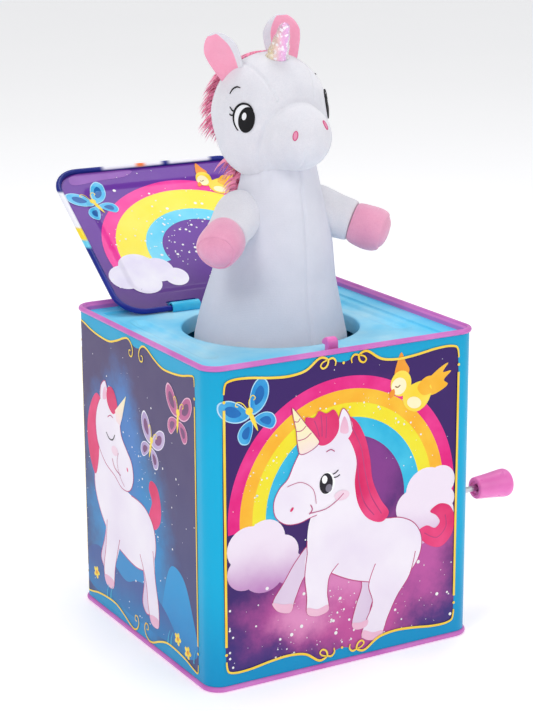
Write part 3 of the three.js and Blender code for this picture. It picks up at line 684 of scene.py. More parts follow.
def lid_skin(z0, lift, flip):
    """Loops from the roll to the middle on one face of the lid's sheet."""
    loops = []
    for inset in [2.6, 3.4, 5, 7.5, 10, *np.arange(11.5, 17, 0.5), 18, 19, 20, 21, 22, 24, 30, 38, 46]:
        loop = rect_loop(inset, 0, LID_HALF, LID_HALF_Y, LID_CORNER, LID_MIDDLE, 10, 26)
        loops.append([(x, y, z0 + lift * emboss_rise(x, y)) for x, y, _ in loop])
    last = np.array(loops[-1])
    loops.append([(x * 0.02, LID_MIDDLE + (y - LID_MIDDLE) * 0.02, z) for x, y, z in last])
    return loops[::-1] if flip else loops


def tin_lid(inside, roll, outside):
    under = lid_skin(LID_TOP - SHEET, 1, flip=True)
    over = lid_skin(LID_TOP, 1, flip=False)
    bead = bead_points(LID_ROLL, HINGE_Z, LID_ROLL, -165, 88, 20)
    ring = [rect_loop(i, z, LID_HALF, LID_HALF_Y, LID_CORNER, LID_MIDDLE, 10, 26) for i, z in bead]
    loops = under + ring + over
    first, last = len(under), len(under) + len(ring) - 1
    pick = lambda j: 0 if j < first - 1 else (1 if j <= last else 2)
    lid = loft("tin_lid", loops, [inside, roll, outside], cap=True, face_material=pick)
    cutters = []
    for side in (-1, 1):
        rings = [rect_loop(0, z, 8.1, 1.8, 0.4, HINGE_Y - 3.2, 3, 2) for z in (LID_TOP - 2.8, LID_TOP + 3)]
        rings = [[(x + side * TAB_X, y, z) for x, y, z in ring_points] for ring_points in rings]
        cutters.append(loft("cutter", rings, [roll], cap=True))
    cut_away(lid, cutters)
    for vertex in lid.data.vertices:
        vertex.co = Vector(opened(*(c / MM for c in vertex.co))) * MM
    smooth_by_angle(lid, 40)
    return place(lid, "lid", "lid_tin", "lid_panel")


# ---------------------------------------------------------------- printed pictures


def on_face(face):
    """A picture's (u, v) in millimetres to a point on a side of the tin, wrapping round its corners."""
    quarter = {"front": 0, "right": 1, "back": 2, "left": 3}[face]
    half, deep = (W / 2, D / 2) if quarter % 2 == 0 else (D / 2, W / 2)
    c, s = [(1, 0), (0, 1), (-1, 0), (0, -1)][quarter]

    def point(u, v, lift):
        flat = half - CORNER
        if abs(u) <= flat:
            x, y = u, -(deep + lift)
        else:
            angle = (abs(u) - flat) / CORNER
            x = math.copysign(flat + (CORNER + lift) * math.sin(angle), u)
            y = -(deep - CORNER + (CORNER + lift) * math.cos(angle))
        return (x * c - y * s, x * s + y * c, v)

    return point


def on_lid_inside(u, v, lift):
    """u across and v away from the hinge, on the lid's inner face."""
    y = HINGE_Y - v
    return opened(u, y, LID_TOP - SHEET + emboss_rise(u, y) - lift)


def on_lid_outside(u, v, lift):
    y = HINGE_Y - v
    return opened(-u, y, LID_TOP + emboss_rise(-u, y) + lift)


PRESS_STEPS = [*range(-10, -2), *np.arange(-2.5, 3, 0.5)]
LID_CUTS = [
    *((1, s * (LID_HALF - EMBOSS["inset"] + d)) for s in (-1, 1) for d in PRESS_STEPS),
    *((0, HINGE_Y - LID_MIDDLE + s * (LID_HALF_Y - EMBOSS["inset"] + d)) for s in (-1, 1) for d in PRESS_STEPS),
]


def corner_cuts(face):
    """Cuts where a picture starts to wrap round the tin's corners."""
    flat = (W if face in ("front", "back") else D) / 2 - CORNER
    return [(1, side * (flat + 0.45 * k)) for side in (-1, 1) for k in range(6)]


class Picture:
    """Flat inks laid one over the other on a surface of the tin, as one thin mesh."""

    STEP = 0.006

    def __init__(self, surface, cuts, clear=0.02):
        self.surface, self.cuts, self.clear = surface, cuts, clear
        self.inks, self.verts, self.faces, self.indexes = [], [], [], []
        self.level = 1

    def _add(self, points, faces, material):
        if material not in self.inks:
            self.inks.append(material)
        base = len(self.verts)
        lift = self.clear + self.level * self.STEP
        self.verts += [self.surface(u, v, lift) for u, v in points]
        self.faces += [tuple(base + i for i in f) for f in faces]
        self.indexes += [self.inks.index(material)] * len(faces)

    def _fine(self, points, faces):
        """Split triangles where the sheet is pressed, so that the ink follows it."""
        mesh = bmesh.new()
        verts = [mesh.verts.new((u, v, 0)) for u, v in points]
        for f in faces:
            mesh.faces.new([verts[i] for i in f])
        for across, place_at in self.cuts:
            geometry = mesh.verts[:] + mesh.edges[:] + mesh.faces[:]
            normal = (1, 0, 0) if across else (0, 1, 0)
            at = (place_at, 0, 0) if across else (0, place_at, 0)
            bmesh.ops.bisect_plane(mesh, geom=geometry, plane_co=at, plane_no=normal)
        mesh.verts.index_update()
        result = [(v.co.x, v.co.y) for v in mesh.verts], [tuple(v.index for v in f.verts) for f in mesh.faces]
        mesh.free()
        return result

    def fill(self, outline, material, steps=6, closed_spline=True):
        points = [tuple(p) for p in (spline(outline, True, steps) if closed_spline else outline)]
        triangles = tessellate_polygon([[Vector((u, v, 0)) for u, v in points]])
        self._add(*self._fine(points, triangles), material)
        self.level += 1

    def ribbon(self, path, width, material, closed=False, taper=None):
        points = spline(path, closed, 5)
        n = len(points)
        sides, faces = [], []
        for i, p in enumerate(points):
            before = points[i - 1] if closed or i else p
            after = points[(i + 1) % n] if closed or i < n - 1 else p
            along = (after - before) / (np.linalg.norm(after - before) + 1e-9)
            half = width / 2 * (taper(i / (n - 1)) if taper else 1)
            across = np.array([-along[1], along[0]]) * half
            sides += [tuple(p + across), tuple(p - across)]
        for i in range(n if closed else n - 1):
            j = (i + 1) % n
            faces.append((2 * i, 2 * i + 1, 2 * j + 1, 2 * j))
        self._add(*self._fine(sides, faces), material)
        self.level += 1

    def oval(self, u, v, a, b, material, turn=0.0, steps=28):
        self.fill(oval_outline(a, b, u, v, turn, steps), material, closed_spline=False)

    def band(self, u, v, r0, r1, start, end, material, steps=60):
        """A rainbow's band, as an arc between two radii."""
        turn = [math.radians(start + (end - start) * i / steps) for i in range(steps + 1)]
        points = [(u + r * math.cos(a), v + r * math.sin(a)) for a in turn for r in (r0, r1)]
        faces = [(2 * i, 2 * i + 1, 2 * i + 3, 2 * i + 2) for i in range(steps)]
        self._add(*self._fine(points, faces), material)

    def stars(self, count, where, sizes, material):
        """Small round stars; where gives a place, sizes the smallest and largest radius."""
        for _ in range(count):
            u, v = where()
            r = sizes[0] + (sizes[1] - sizes[0]) * rng.random() ** 3
            ring = [(u + r * math.cos(k * math.pi / 4), v + r * math.sin(k * math.pi / 4)) for k in range(8)]
            self._add(ring, [tuple(range(8))], material)
        self.level += 1

    def finish(self, name, body, slot):
        picture = new_object(name, self.verts, self.faces, self.inks, True, self.indexes)
        return place(picture, body, slot)


def round_cloud(picture, puffs, material):
    for u, v, r in puffs:
        picture.oval(u, v, r, r * 0.94, material)


def butterfly(picture, u, v, size, turn, wing, inner, rim, body):
    """Four wings in two tones, a rimmed edge, a yellow body and curled feelers."""
    c, s = math.cos(math.radians(turn)), math.sin(math.radians(turn))
    put = lambda pts: [(u + size * (x * c - y * s), v + size * (x * s + y * c)) for x, y in pts]
    upper = [(0.4, 1), (1.5, 6), (5.5, 11), (9.5, 12), (11, 9), (9.5, 4.5), (5, 1)]
    lower = [(0.5, -0.5), (5, -0.5), (8, -3), (8, -6.5), (5.5, -8), (3, -6), (1, -3)]
    mirror = lambda pts: [(-x, y) for x, y in pts]
    scale = lambda pts, k: [tuple(np.mean(pts, axis=0) + (np.array(p) - np.mean(pts, axis=0)) * k) for p in pts]
    for flip in (lambda p: p, mirror):
        for shape in (upper, lower):
            picture.fill(put(flip(shape)), rim)
            picture.fill(put(scale(flip(shape), 0.9)), wing)
            picture.fill(put(scale(flip(shape), 0.5)), inner)
    picture.ribbon(put([(0.4, 3), (1.5, 6.5), (3.6, 7.6), (4.2, 6.2), (3.2, 5.8)]), 0.35 * size, body)
    picture.ribbon(put([(-0.4, 3), (-1.2, 7), (-3, 8.6), (-4, 7.6), (-3.2, 6.9)]), 0.35 * size, body)
    picture.fill(put([(0, 2.6), (0.8, 1), (0.6, -3), (0, -5.6), (-0.6, -3), (-0.8, 1)]), body)
    picture.oval(*put([(0, 3)])[0], 1.5 * size, 1.4 * size, body)


def song_bird(picture, u, v, size, inks):
    """A small bird seen from the side, wing up, with its eye shut."""
    put = lambda pts: [(u + size * x, v + size * y) for x, y in pts]
    picture.fill(put([(6, 2), (13, 8), (17, 9.5), (14.5, 6), (18.5, 6), (15, 2.5), (17, 0.5), (8, -3)]), inks["gold"])
    picture.fill(put([(-4, 1), (0, 3), (6, 3.5), (9, 0), (7, -6), (2, -9), (-3, -7), (-5, -3)]), inks["yellow"])
    picture.fill(put([(2, 1), (6, 5), (11, 4.5), (8, 1), (9.5, -1.5), (5, -2.5)]), inks["gold"])
    picture.fill(put([(-9, 7), (-8, 13), (-6, 17), (-4, 13), (-2, 9), (-5, 5)]), inks["amber"])
    picture.oval(*put([(-6, 4)])[0], 5 * size, 5.4 * size, inks["yellow"])
    picture.oval(*put([(-7, 3)])[0], 3.6 * size, 3.6 * size, inks["cream"])
    picture.oval(*put([(0.5, -5)])[0], 3.6 * size, 2.4 * size, inks["cream"], -20)
    picture.fill(put([(-11.6, 0.6), (-9.4, 2.2), (-9, 0), (-11.2, -1.6)]), inks["amber"])
    picture.ribbon(put([(-8.8, 3.2), (-7.6, 2.6), (-6.4, 3.4)]), 0.5 * size, inks["brown"])


# Each border's half, from its outer end to the middle: (share of the half width, rise), then the curls.
FRONT_BORDER = dict(
    wave=[(1.0, -6), (0.985, -1.2), (0.93, 0), (0.8, -0.1), (0.62, -1.6), (0.46, -2.2), (0.32, -0.8)],
    curl=[(12.6, 3.7), (10.4, 3.8), (8.0, 2.2), (8.6, -0.2), (10.6, -1.2), (11.9, 0.1), (10.8, 1.6), (8.4, 2.4)],
    hook=[(8.2, 2.3), (5.8, 3.0), (4.1, 1.4), (4.4, -0.7)],
    crest=[(12.6, 3.7), (10.4, 3.6), (8.2, 2.4), (5.8, 3.0), (4.1, 1.2), (0, 0.3)],
    width=1.15,
)
SIDE_BORDER = dict(
    wave=[(1.0, -4), (0.99, 0.2), (0.93, 0.0), (0.8, -1.8), (0.62, -3.0), (0.46, -3.0), (0.32, -0.6)],
    curl=[(12, 2.2), (8, 2.8), (4.8, 1.2), (3.2, -2.0), (4.4, -4.8), (6.8, -4.6), (7.0, -2.4), (5.4, -2.2)],
    hook=[],
    crest=[(12, 2.2), (8, 2.8), (4.8, 1.2), (0, 0.2)],
    width=0.95,
)


def border_halves(style, left, right, low, high, centre):
    """The four waved lines as (side, sign, height, points), outer end first."""
    for z, sign in ((high, 1), (low, -1)):
        for end, side in ((left, -1), (right, 1)):
            w = abs(end - centre)
            yield side, sign, z, [(centre + side * w * share, z + sign * rise) for share, rise in style["wave"]]


def bordered_panel(picture, style, left, right, low, high, centre, material):
    """The picture's ground, cut to the border's waves."""
    lines = {(side, sign): line for side, sign, _, line in border_halves(style, left, right, low, high, centre)}
    crest = lambda side, z, sign: [(centre + side * x, z + sign * y) for x, y in style["crest"]]
    top = lines[-1, 1] + crest(-1, high, 1) + (lines[1, 1] + crest(1, high, 1)[:-1])[::-1]
    bottom = lines[-1, -1] + crest(-1, low, -1) + (lines[1, -1] + crest(1, low, -1)[:-1])[::-1]
    bottom.reverse()
    picture.fill(top + bottom, material, 5)


def scroll_border(picture, style, left, right, low, high, centre, material):
    """Yellow line border: waved top and bottom that curl at the middle, straight sides with a dot."""
    width = style["width"]
    thick = lambda t: 0.6 + 0.4 * math.sin(math.pi * min(t * 1.1, 1) ** 0.7)
    for side, sign, z, line in border_halves(style, left, right, low, high, centre):
        place_at = lambda points: [(centre + side * x, z + sign * y) for x, y in points]
        picture.ribbon(line + place_at(style["curl"]), width, material, taper=thick)
        if style["hook"]:
            picture.ribbon(place_at(style["hook"]), 0.8 * width, material, taper=thick)
            picture.oval(centre, z, 0.65, 0.65, material, steps=10)
    for u in (left, right):
        picture.ribbon([(u, low + 13), (u, (low + high) / 2), (u, high - 13)], width, material)
        for v in (low + 9.4, high - 9.4):
            picture.oval(u, v, 0.7, 0.7, material, steps=10)


def rainbow(picture, u, v, bands, start, end):
    for r0, r1, material in bands:
        picture.band(u, v, r0, r1, start, end, material)
    picture.level += 1


def prancing_unicorn(picture, inks):
    """A white foal with a horn, walking to the left with one leg raised."""
    white, blush, rose = inks["foal"], inks["blush"], inks["rose"]
    line = lambda pts, w=0.45, closed=False: picture.ribbon(pts, w, inks["outline"], closed)
    tail = [(39, 57), (44, 50.5), (52, 47.5), (58, 52), (60, 60), (57, 67), (51, 69), (46, 66),
            (49.5, 63.5), (51.5, 60), (49, 57.5), (44, 59.5)]
    picture.fill(tail, rose)
    line([(43, 56), (50, 52.5), (55, 57), (54.5, 63)], 0.5)
    far_front = [(-19, 62), (-26, 56), (-33, 46), (-38.6, 37.5), (-36, 33.4), (-29.4, 31.6), (-26.5, 38), (-22, 47),
                 (-15, 53)]
    far_back = [(8, 46), (8.6, 36), (5.4, 27), (3.6, 18), (7, 15.4), (11.6, 16.6), (13.6, 25), (17, 34), (20, 44)]
    for leg in (far_front, far_back):
        picture.fill(leg, inks["foal_shade"])
        line(leg, closed=True)
    body = [(-19, 74), (-20.6, 64), (-20, 56), (-14, 50), (-6, 45), (3, 40.6), (13, 37.6), (24, 35.4), (34, 37.6),
            (40, 45), (41.4, 54), (37.6, 61.6), (30, 66), (20, 67.6), (13, 71), (8, 80), (0, 86), (-12, 84)]
    picture.fill(body, white)
    line(body[1:-3])
    near_front = [(-20.5, 58), (-21.8, 47), (-20.8, 37), (-20.4, 28.6), (-15, 26.8), (-9.4, 28.4), (-9.8, 37),
                  (-8.6, 45), (-4, 50), (-10, 58)]
    near_back = [(16, 46), (12.4, 36), (14.6, 27), (11, 18.5), (8.8, 11.8), (13, 8.8), (19, 9), (23, 18), (28, 27.5),
                 (35, 37), (38, 48), (28, 56)]
    for leg in (near_front, near_back):
        picture.fill(leg, white)
        line(leg[:-1])
    hooves = [
        [(-38.8, 37.6), (-36, 33.2), (-29.4, 31.4), (-28, 35), (-33, 36)],
        [(3.5, 19), (4.4, 16.2), (8, 15.2), (11.7, 16.4), (12.2, 19), (8, 18.6)],
        [(-20.6, 31.6), (-20.3, 28.4), (-15, 26.6), (-9.3, 28.2), (-9.5, 31), (-15, 30)],
        [(9.6, 14.2), (8.8, 11.4), (13, 8.6), (19, 8.8), (20.6, 12), (15, 12.2)],
    ]
    for hoof in hooves:
        picture.fill(hoof, blush)
    picture.fill([(-22.4, 112), (-23.4, 119), (-19, 117.4), (-16, 113)], inks["foal_shade"])
    mane = [(-2, 120), (4, 117.5), (9.4, 109), (12.4, 98), (14, 87), (18.4, 77), (23, 69.6), (19.4, 66),
            (12, 68.6), (6.6, 76), (4.4, 87), (5.2, 98), (1.4, 108), (-4, 114)]
    head = [(-24, 107), (-27.6, 101), (-30.6, 95), (-35, 91), (-37.8, 85), (-37, 78.4), (-32, 74), (-25, 73.2),
            (-18, 75), (-8, 76.6), (1, 79.6), (6.6, 86), (8.4, 96), (6, 106), (-1, 112), (-10, 114), (-19, 112)]
    picture.fill(head, white)
    line(head, 0.4, True)
    picture.fill([(-2, 82), (9, 84), (13, 72), (6, 66), (-14, 64), (-18, 72), (-12, 78)], white)
    picture.fill(mane, rose)
    for pts in ([(2, 115), (7.5, 104), (9.8, 92), (13, 80), (19, 70)], [(5.6, 100), (6.6, 88), (9.6, 77), (15, 70)]):
        line(pts, 0.5)
    picture.fill([(-5.4, 112), (-4.2, 119), (-2, 123.4), (1.2, 119.6), (3, 112.6), (-1, 108)], white)
    line([(-5.4, 112), (-4.2, 119), (-2, 123.4), (1.2, 119.6), (3, 112.6)])
    picture.fill([(-3.4, 112.5), (-2.4, 118), (-1.4, 119.6), (0.4, 116.4), (0.6, 111.6)], blush)
    forelock = [(-21, 117), (-21.4, 122), (-17, 121.4), (-14.6, 124), (-10.6, 122.4), (-7, 123.6), (-4.4, 119.6),
                (-4.6, 113), (-9, 108.4), (-14, 108)]
    picture.fill(forelock, rose)
    for pts in ([(-17, 120), (-14.4, 112)], [(-10.8, 121), (-11, 111)], [(-13.6, 122), (-13, 112)]):
        line([pts[0], tuple(np.mean(pts, axis=0) + 0.2), pts[1]], 0.5)
    horn = [(-28.4, 127.6), (-26.4, 117), (-24.4, 105.6), (-19.6, 106), (-14.4, 109.6), (-20.6, 118)]
    picture.fill([(-28.4, 127.8), (-26.6, 117), (-24.6, 105.6), (-19.4, 105.8), (-14.2, 109.6), (-20.8, 118.4)],
                 inks["horn"], 1, closed_spline=False)
    line(horn, 0.35, True)
    for t in (0.3, 0.52, 0.72):
        a, b = np.array([-28.4, 127.6]), np.array([-24.5, 106])
        p, q = a + (b - a) * t, a + (np.array([-14.6, 109.6]) - a) * t
        line([tuple(p), tuple((p + q) / 2 + (0.3, -0.9)), tuple(q)], 0.4)
    picture.oval(-10.2, 89.6, 4.2, 5.3, inks["eye_white"])
    picture.oval(-10.8, 89.6, 3.5, 4.9, inks["eye"])
    picture.oval(-9.4, 87.2, 1.7, 1.9, inks["iris"])
    picture.oval(-11.6, 91.6, 1.4, 1.9, inks["eye_white"])
    for a, b in (((-7.4, 93.4), (-4.4, 95)), ((-6.8, 91.8), (-3.6, 92.6))):
        picture.ribbon([a, tuple((np.array(a) + b) / 2 - (0, 0.4)), b], 0.5, inks["eye"])
    line([(-10.8, 104.4), (-8.4, 105.2), (-6.4, 104)], 0.45)
    picture.oval(-2.5, 82.6, 4, 2.4, inks["cheek"])
    line([(-31, 91.4), (-24, 92.4), (-17.6, 88), (-16, 81)], 0.28)
    picture.oval(-28.6, 80.4, 0.6, 1.2, inks["rose"], -40)
    line([(-19, 81), (-18, 78.6), (-19.6, 76.6)], 0.5)
    line([(-19.6, 77), (-11, 77.6), (-5, 80.6), (-1.6, 83.4)], 0.4)


def front_picture(face, inks, name):
    picture = Picture(on_face(face), corner_cuts(face))
    edges = (-62.4, 60.2, 8.4, 144.5, -2)
    bordered_panel(picture, FRONT_BORDER, *edges, inks["night"])
    bands = [(54, 60, inks["magenta"]), (47.6, 54, inks["amber_band"]), (40.8, 47.6, inks["yellow_band"]),
             (32.4, 40.8, inks["blue_band"])]
    rainbow(picture, -1, 78, bands, -4, 184)
    round_cloud(picture, [(44, 77, 11.6), (51.4, 80, 8.2), (36, 70, 9), (48.6, 64, 10.8), (53.6, 71, 6), (40, 60, 10)],
                inks["cloud"])
    round_cloud(picture, [(-50.6, 66, 11), (-42, 68.6, 10), (-34, 61, 9), (-52.6, 55, 9), (-43, 54, 11),
                          (-30, 53, 8)], inks["cloud"])
    spot = lambda: (rng.gauss(-2, 30), 26 + rng.gauss(0, 12))
    inside = lambda draw: lambda: tuple(np.clip(draw(), (-60.5, 11), (58.5, 142)))
    picture.stars(170, inside(spot), (0.16, 0.95), inks["star"])
    arc = lambda: (lambda a, r: (-1 + r * math.cos(a), 78 + r * math.sin(a)))(rng.uniform(0.3, 3.0), rng.gauss(46, 7))
    picture.stars(110, inside(arc), (0.14, 0.6), inks["star"])
    picture.stars(40, lambda: (rng.uniform(-60, 58), rng.uniform(14, 142)), (0.15, 0.4), inks["star"])
    above_sky = picture.level
    prancing_unicorn(picture, inks)
    above_foal = picture.level
    picture.level = above_sky
    butterfly(picture, -48.4, 126, 1.22, 24, inks["wing_blue"], inks["wing_deep"], inks["wing_pale"], inks["yellow"])
    picture.level = above_sky
    song_bird(picture, 35.5, 126, 1.12, inks)
    picture.level = above_foal
    scroll_border(picture, FRONT_BORDER, *edges, inks["border"])
    return picture.finish(name, "box", "printed_tin")


def grazing_unicorn(picture, inks):
    """A white foal looking back over its shoulder with its eyes shut."""
    white, blush, rose = inks["foal"], inks["blush"], inks["rose"]
    line = lambda pts, w=0.5, closed=False: picture.ribbon(pts, w, inks["outline"], closed)
    picture.fill([(8, 62), (14, 61), (20, 66), (21, 75), (17, 83), (11, 84), (9, 80), (12, 74), (9, 68)], rose)
    for leg in ([(-36, 50), (-42, 38), (-46, 28), (-42, 24), (-36, 27), (-30, 38), (-26, 48)],
                [(0, 46), (2, 32), (0, 20), (4, 16), (9, 18), (9, 30), (12, 44)]):
        picture.fill(leg, inks["foal_shade"])
        line(leg, closed=True)
    body = [(-50, 78), (-51, 64), (-45, 52), (-35, 43), (-20, 38), (-4, 36), (9, 40), (15, 51), (13, 62), (4, 69),
            (-10, 70.6), (-19, 73), (-26, 84), (-44, 90)]
    picture.fill(body, white)
    line(body[:-3])
    for leg in ([(-38, 50), (-40, 36), (-43, 22), (-40, 16), (-33, 16), (-30, 28), (-24, 44)],
                [(-2, 44), (4, 32), (6, 20), (9, 13), (16, 13), (17, 22), (14, 36), (12, 50)]):
        picture.fill(leg, white)
        line(leg)
    for hoof in ([(-42.6, 20), (-40.4, 15.8), (-33, 15.8), (-32, 20)],
                 [(7.4, 16.4), (9, 12.8), (16, 12.8), (16.4, 17)]):
        picture.fill(hoof, blush)
    picture.fill([(-46, 112), (-54, 104), (-58, 92), (-56, 78), (-50, 70), (-46, 78), (-44, 94), (-40, 108)], rose)
    head = [(-44, 108), (-48, 98), (-46, 87), (-38, 79), (-28, 75.4), (-20, 71.4), (-11.6, 72.4), (-7.4, 78.6),
            (-8.6, 86.6), (-14, 92), (-19.4, 97.6), (-21.6, 106), (-28, 112), (-38, 113)]
    picture.fill(head, white)
    line(head, 0.45, True)
    picture.fill([(-42, 110), (-41, 117), (-36, 120.5), (-33, 114), (-34, 108)], white)
    line([(-42, 110), (-41, 117), (-36, 120.5), (-33, 114)])
    picture.fill([(-39, 111), (-38, 116), (-36, 117.6), (-35, 112)], blush)
    picture.fill([(-34, 110), (-34, 117), (-29, 119), (-25, 116), (-23, 110), (-28, 106)], rose)
    picture.fill([(-13, 118.6), (-25.5, 108.5), (-24.5, 103.5), (-20.5, 102), (-18, 106.5)], inks["horn"], 1,
                 closed_spline=False)
    picture.ribbon([(-36, 95), (-33, 92.6), (-29, 93), (-26.6, 96)], 0.7, inks["eye"])
    line([(-34, 103), (-31, 104.6), (-28, 104)], 0.5)
    picture.oval(-27, 88, 3.6, 2.4, inks["cheek"])
    picture.oval(-13.4, 82.4, 0.6, 1.1, rose, 30)
    line([(-30, 83.4), (-27.4, 79.4), (-21, 77.4)], 0.5)
    line([(-23, 88), (-24.6, 83), (-22, 77), (-17, 73)], 0.3)


def side_picture(face, inks, name):
    picture = Picture(on_face(face), corner_cuts(face))
    edges = (-62.6, 56.4, 6, 144.2, -1.5)
    bordered_panel(picture, SIDE_BORDER, *edges, inks["dusk"])
    picture.fill([(20, 12), (23, 34), (31, 49), (42, 47), (51, 32), (55.6, 14), (44, 8.6)], inks["hill_far"])
    picture.fill([(-61.6, 12), (-61.6, 27), (-50, 33), (-34, 30), (-18, 25), (-6, 29), (8, 30), (24, 24), (36, 15),
                  (44, 9), (27, 9.6), (14, 9), (-1.5, 9), (-17, 9), (-30, 9.6), (-48, 8.6)], inks["hill"])
    halo = lambda: (rng.gauss(-12, 26), rng.gauss(68, 32))
    inside = lambda draw: lambda: tuple(np.clip(draw(), (-61, 12), (54, 138)))
    picture.stars(190, inside(halo), (0.16, 0.6), inks["star"])
    above_sky = picture.level
    grazing_unicorn(picture, inks)
    above_foal = picture.level
    picture.level = above_sky
    pale = (inks["wing_lilac"], inks["wing_plum"], inks["cloud_white"], inks["yellow"])
    butterfly(picture, 12, 101, 1.1, -16, *pale)
    butterfly(picture, 40, 121, 1.15, -6, inks["wing_rose"], inks["wing_plum"], inks["blush"], inks["yellow"])
    picture.level = above_sky
    for u, v in ((36, 15), (-52, 18), (46, 12)):
        for k in range(5):
            a = 2 * math.pi * k / 5
            picture.oval(u + 1.8 * math.cos(a), v + 1.8 * math.sin(a), 1.5, 1.1, inks["yellow"], math.degrees(a))
        picture.oval(u, v, 1, 1, inks["amber"])
    for u in (26, 29, -40, -36, 52):
        picture.ribbon([(u, 9), (u + 0.6, 13), (u + 2.4, 16.6)], 1.2, inks["grass"], taper=lambda t: 1 - 0.85 * t)
    picture.level = above_foal
    scroll_border(picture, SIDE_BORDER, *edges, inks["border"])
    return picture.finish(name, "box", "printed_tin")


def lid_inside_picture(inks):
    picture = Picture(on_lid_inside, LID_CUTS, 0.08)
    mauve = [(-46, 95), (-36, 98.6), (-20, 98.4), (-10, 96.4), (-14, 93.2), (-30, 91.6), (-46, 90.4)]
    picture.fill(mauve, inks["lid_mauve"])
    bands = [(42.6, 51, inks["lid_pink"]), (28.4, 44, inks["lid_yellow"]), (21.4, 29.4, inks["lid_cyan"])]
    middle, wide, edge = 8, 1.08, 50.6
    for r0, r1, colour in bands:  # the right-hand side runs off the lid's printed face
        reach = (edge - middle) / (wide * r0)
        first = -16 if reach > 1 else math.degrees(math.acos(reach))
        squeezed = [(min(edge, middle + r * math.cos(a) * wide), 38 + r * math.sin(a) * 0.96)
                    for r, turns in ((r1, range(0, 41)), (r0, range(40, -1, -1)))
                    for a in (math.radians(first + (196 - first) * i / 40) for i in turns)]
        picture.fill(squeezed, colour, closed_spline=False)
    for puffs in ([(-43, 24, 8.6), (-34, 30, 10), (-24, 27, 8.6), (-16, 21, 6.4), (-34, 20, 9)],
                  [(46, 24, 6), (38, 28, 8.4), (30, 22, 6.6)]):
        round_cloud(picture, puffs, inks["cloud_white"])
    spot = lambda: (float(np.clip(rng.gauss(-2, 17), -50, 50)), float(np.clip(rng.gauss(46, 16), 10, 96)))
    picture.stars(120, spot, (0.25, 0.95), inks["star"])
    picture.stars(50, lambda: (rng.uniform(-50, 50), rng.uniform(8, 96)), (0.2, 0.6), inks["star"])
    butterfly(picture, -38, 75, 1.1, 20, inks["wing_cyan"], inks["wing_deep"], inks["wing_pale"], inks["yellow"])
    song_bird(picture, 33, 82, 0.9, inks)
    return picture.finish("lid_inside_print", "lid", "lid_tin")


def lid_outside_picture(inks):
    picture = Picture(on_lid_outside, LID_CUTS, 0.08)
    bands = [(36, 42, inks["magenta"]), (30, 36, inks["amber_band"]), (24, 30, inks["yellow_band"]),
             (17, 24, inks["blue_band"])]
    rainbow(picture, 0, 34, bands, 0, 180)
    for side in (-1, 1):
        round_cloud(picture, [(side * 42, 26, 7.4), (side * 33, 31, 9), (side * 23, 27, 8), (side * 33, 23, 8)],
                    inks["cloud_white"])
    picture.stars(130, lambda: (rng.uniform(-50, 50), rng.uniform(7, 96)), (0.2, 0.8), inks["star"])
    butterfly(picture, -36, 84, 0.9, 16, inks["wing_cyan"], inks["wing_deep"], inks["wing_pale"], inks["yellow"])
    butterfly(picture, 38, 84, 0.8, -20, inks["wing_rose"], inks["wing_plum"], inks["blush"], inks["yellow"])
    return picture.finish("lid_outside_print", "lid", "lid_tin")


# The plain inks: colour, the tint that it drifts towards and, for some, the scale of the patches.
PLAIN_INKS = dict(
    magenta=("E3127E", "EE3F96"),
    amber_band=("F7B42C", "F9CB3C"),
    yellow_band=("F3E02A", "F0EA3A"),
    blue_band=("22B2DC", "46C6E6"),
    cloud_white=("F4F2FA", "E6E0F4"),
    foal=("F3EDF6", "EAE0F0", 30),
    foal_shade=("E2D2E6", "D9C4DE", 30),
    blush=("E9B4CE", "F0C4D8"),
    cheek=("F0D2E2", "F2D8E6"),
    rose=("D81E62", "EB4A84", 45),
    outline=("C4467E", "B03A76"),
    eye=("1E1A22", "2C2833"),
    iris=("6E6A78", "8A8694"),
    eye_white=("FFFFFF", "F4F4FA"),
    yellow=("F8D83A", "FBE460"),
    gold=("F6B52A", "F9C84A"),
    amber=("EE8E1E", "F4A436"),
    cream=("FCF0BE", "FBF6DA"),
    brown=("7A4A1E", "8A5A2A"),
    border=("F8CE36", "FBDC5E"),
    wing_blue=("1E8FD4", "55B8E8", 90),
    wing_cyan=("29B4EA", "7FD2F4", 90),
    wing_deep=("0F5FA8", "1B73BE"),
    wing_pale=("8FD0F0", "C2E6F8"),
    wing_lilac=("A992C4", "C7B4D8"),
    wing_rose=("B8598E", "D07AA6"),
    wing_plum=("70406E", "8A5686"),
    grass=("3FA6D0", "58C0DC"),
    lid_mauve=("8B4FB0", "9A62BE"),
    lid_pink=("F7289A", "FB52AE"),
    lid_yellow=("FAEA38", "FCF05C"),
    lid_cyan=("5CD2F2", "7FDDF6"),
)

# The inks that fade along an axis: the two colours, the axis, and where the fade starts and ends.
FADED_INKS = dict(
    cloud=("B872B8", "F0E4F2", "Z", 42, 76),
    horn=("F6DDE4", "F8F0C2", "Z", 104, 126),
    hill=("1B7CB8", "3A5A9C", "Z", 12, 34),
    hill_far=("1A7FC0", "1C96D2", "Z", 12, 48),
)


def all_inks():
    inks = dict(night=night_sky_ink(), dusk=dusk_sky_ink())
    # the printed stars glow faintly: a painted glow from emission
    inks["star"] = Shader("ink_star_glowing", Roughness=0.3, Emission_Strength=0.05).material
    inks.update((name, ink(name, *spec)) for name, spec in PLAIN_INKS.items())
    inks.update((name, faded_ink(name, *spec)) for name, spec in FADED_INKS.items())
    return inks


# ---------------------------------------------------------------- puppet

CRANIUM = (np.array([0, 0, 247.0]), np.array([27.5, 28, 29]))
MUZZLE = (np.array([0.5, -25, 239.0]), np.array([16, 16, 15.5]))
SEAM_DEPTH = 0.55


def lean(z):
    share = smoothstep(z, LEAN["start"], LEAN["end"])
    return LEAN["x"] * share, LEAN["y"] * share


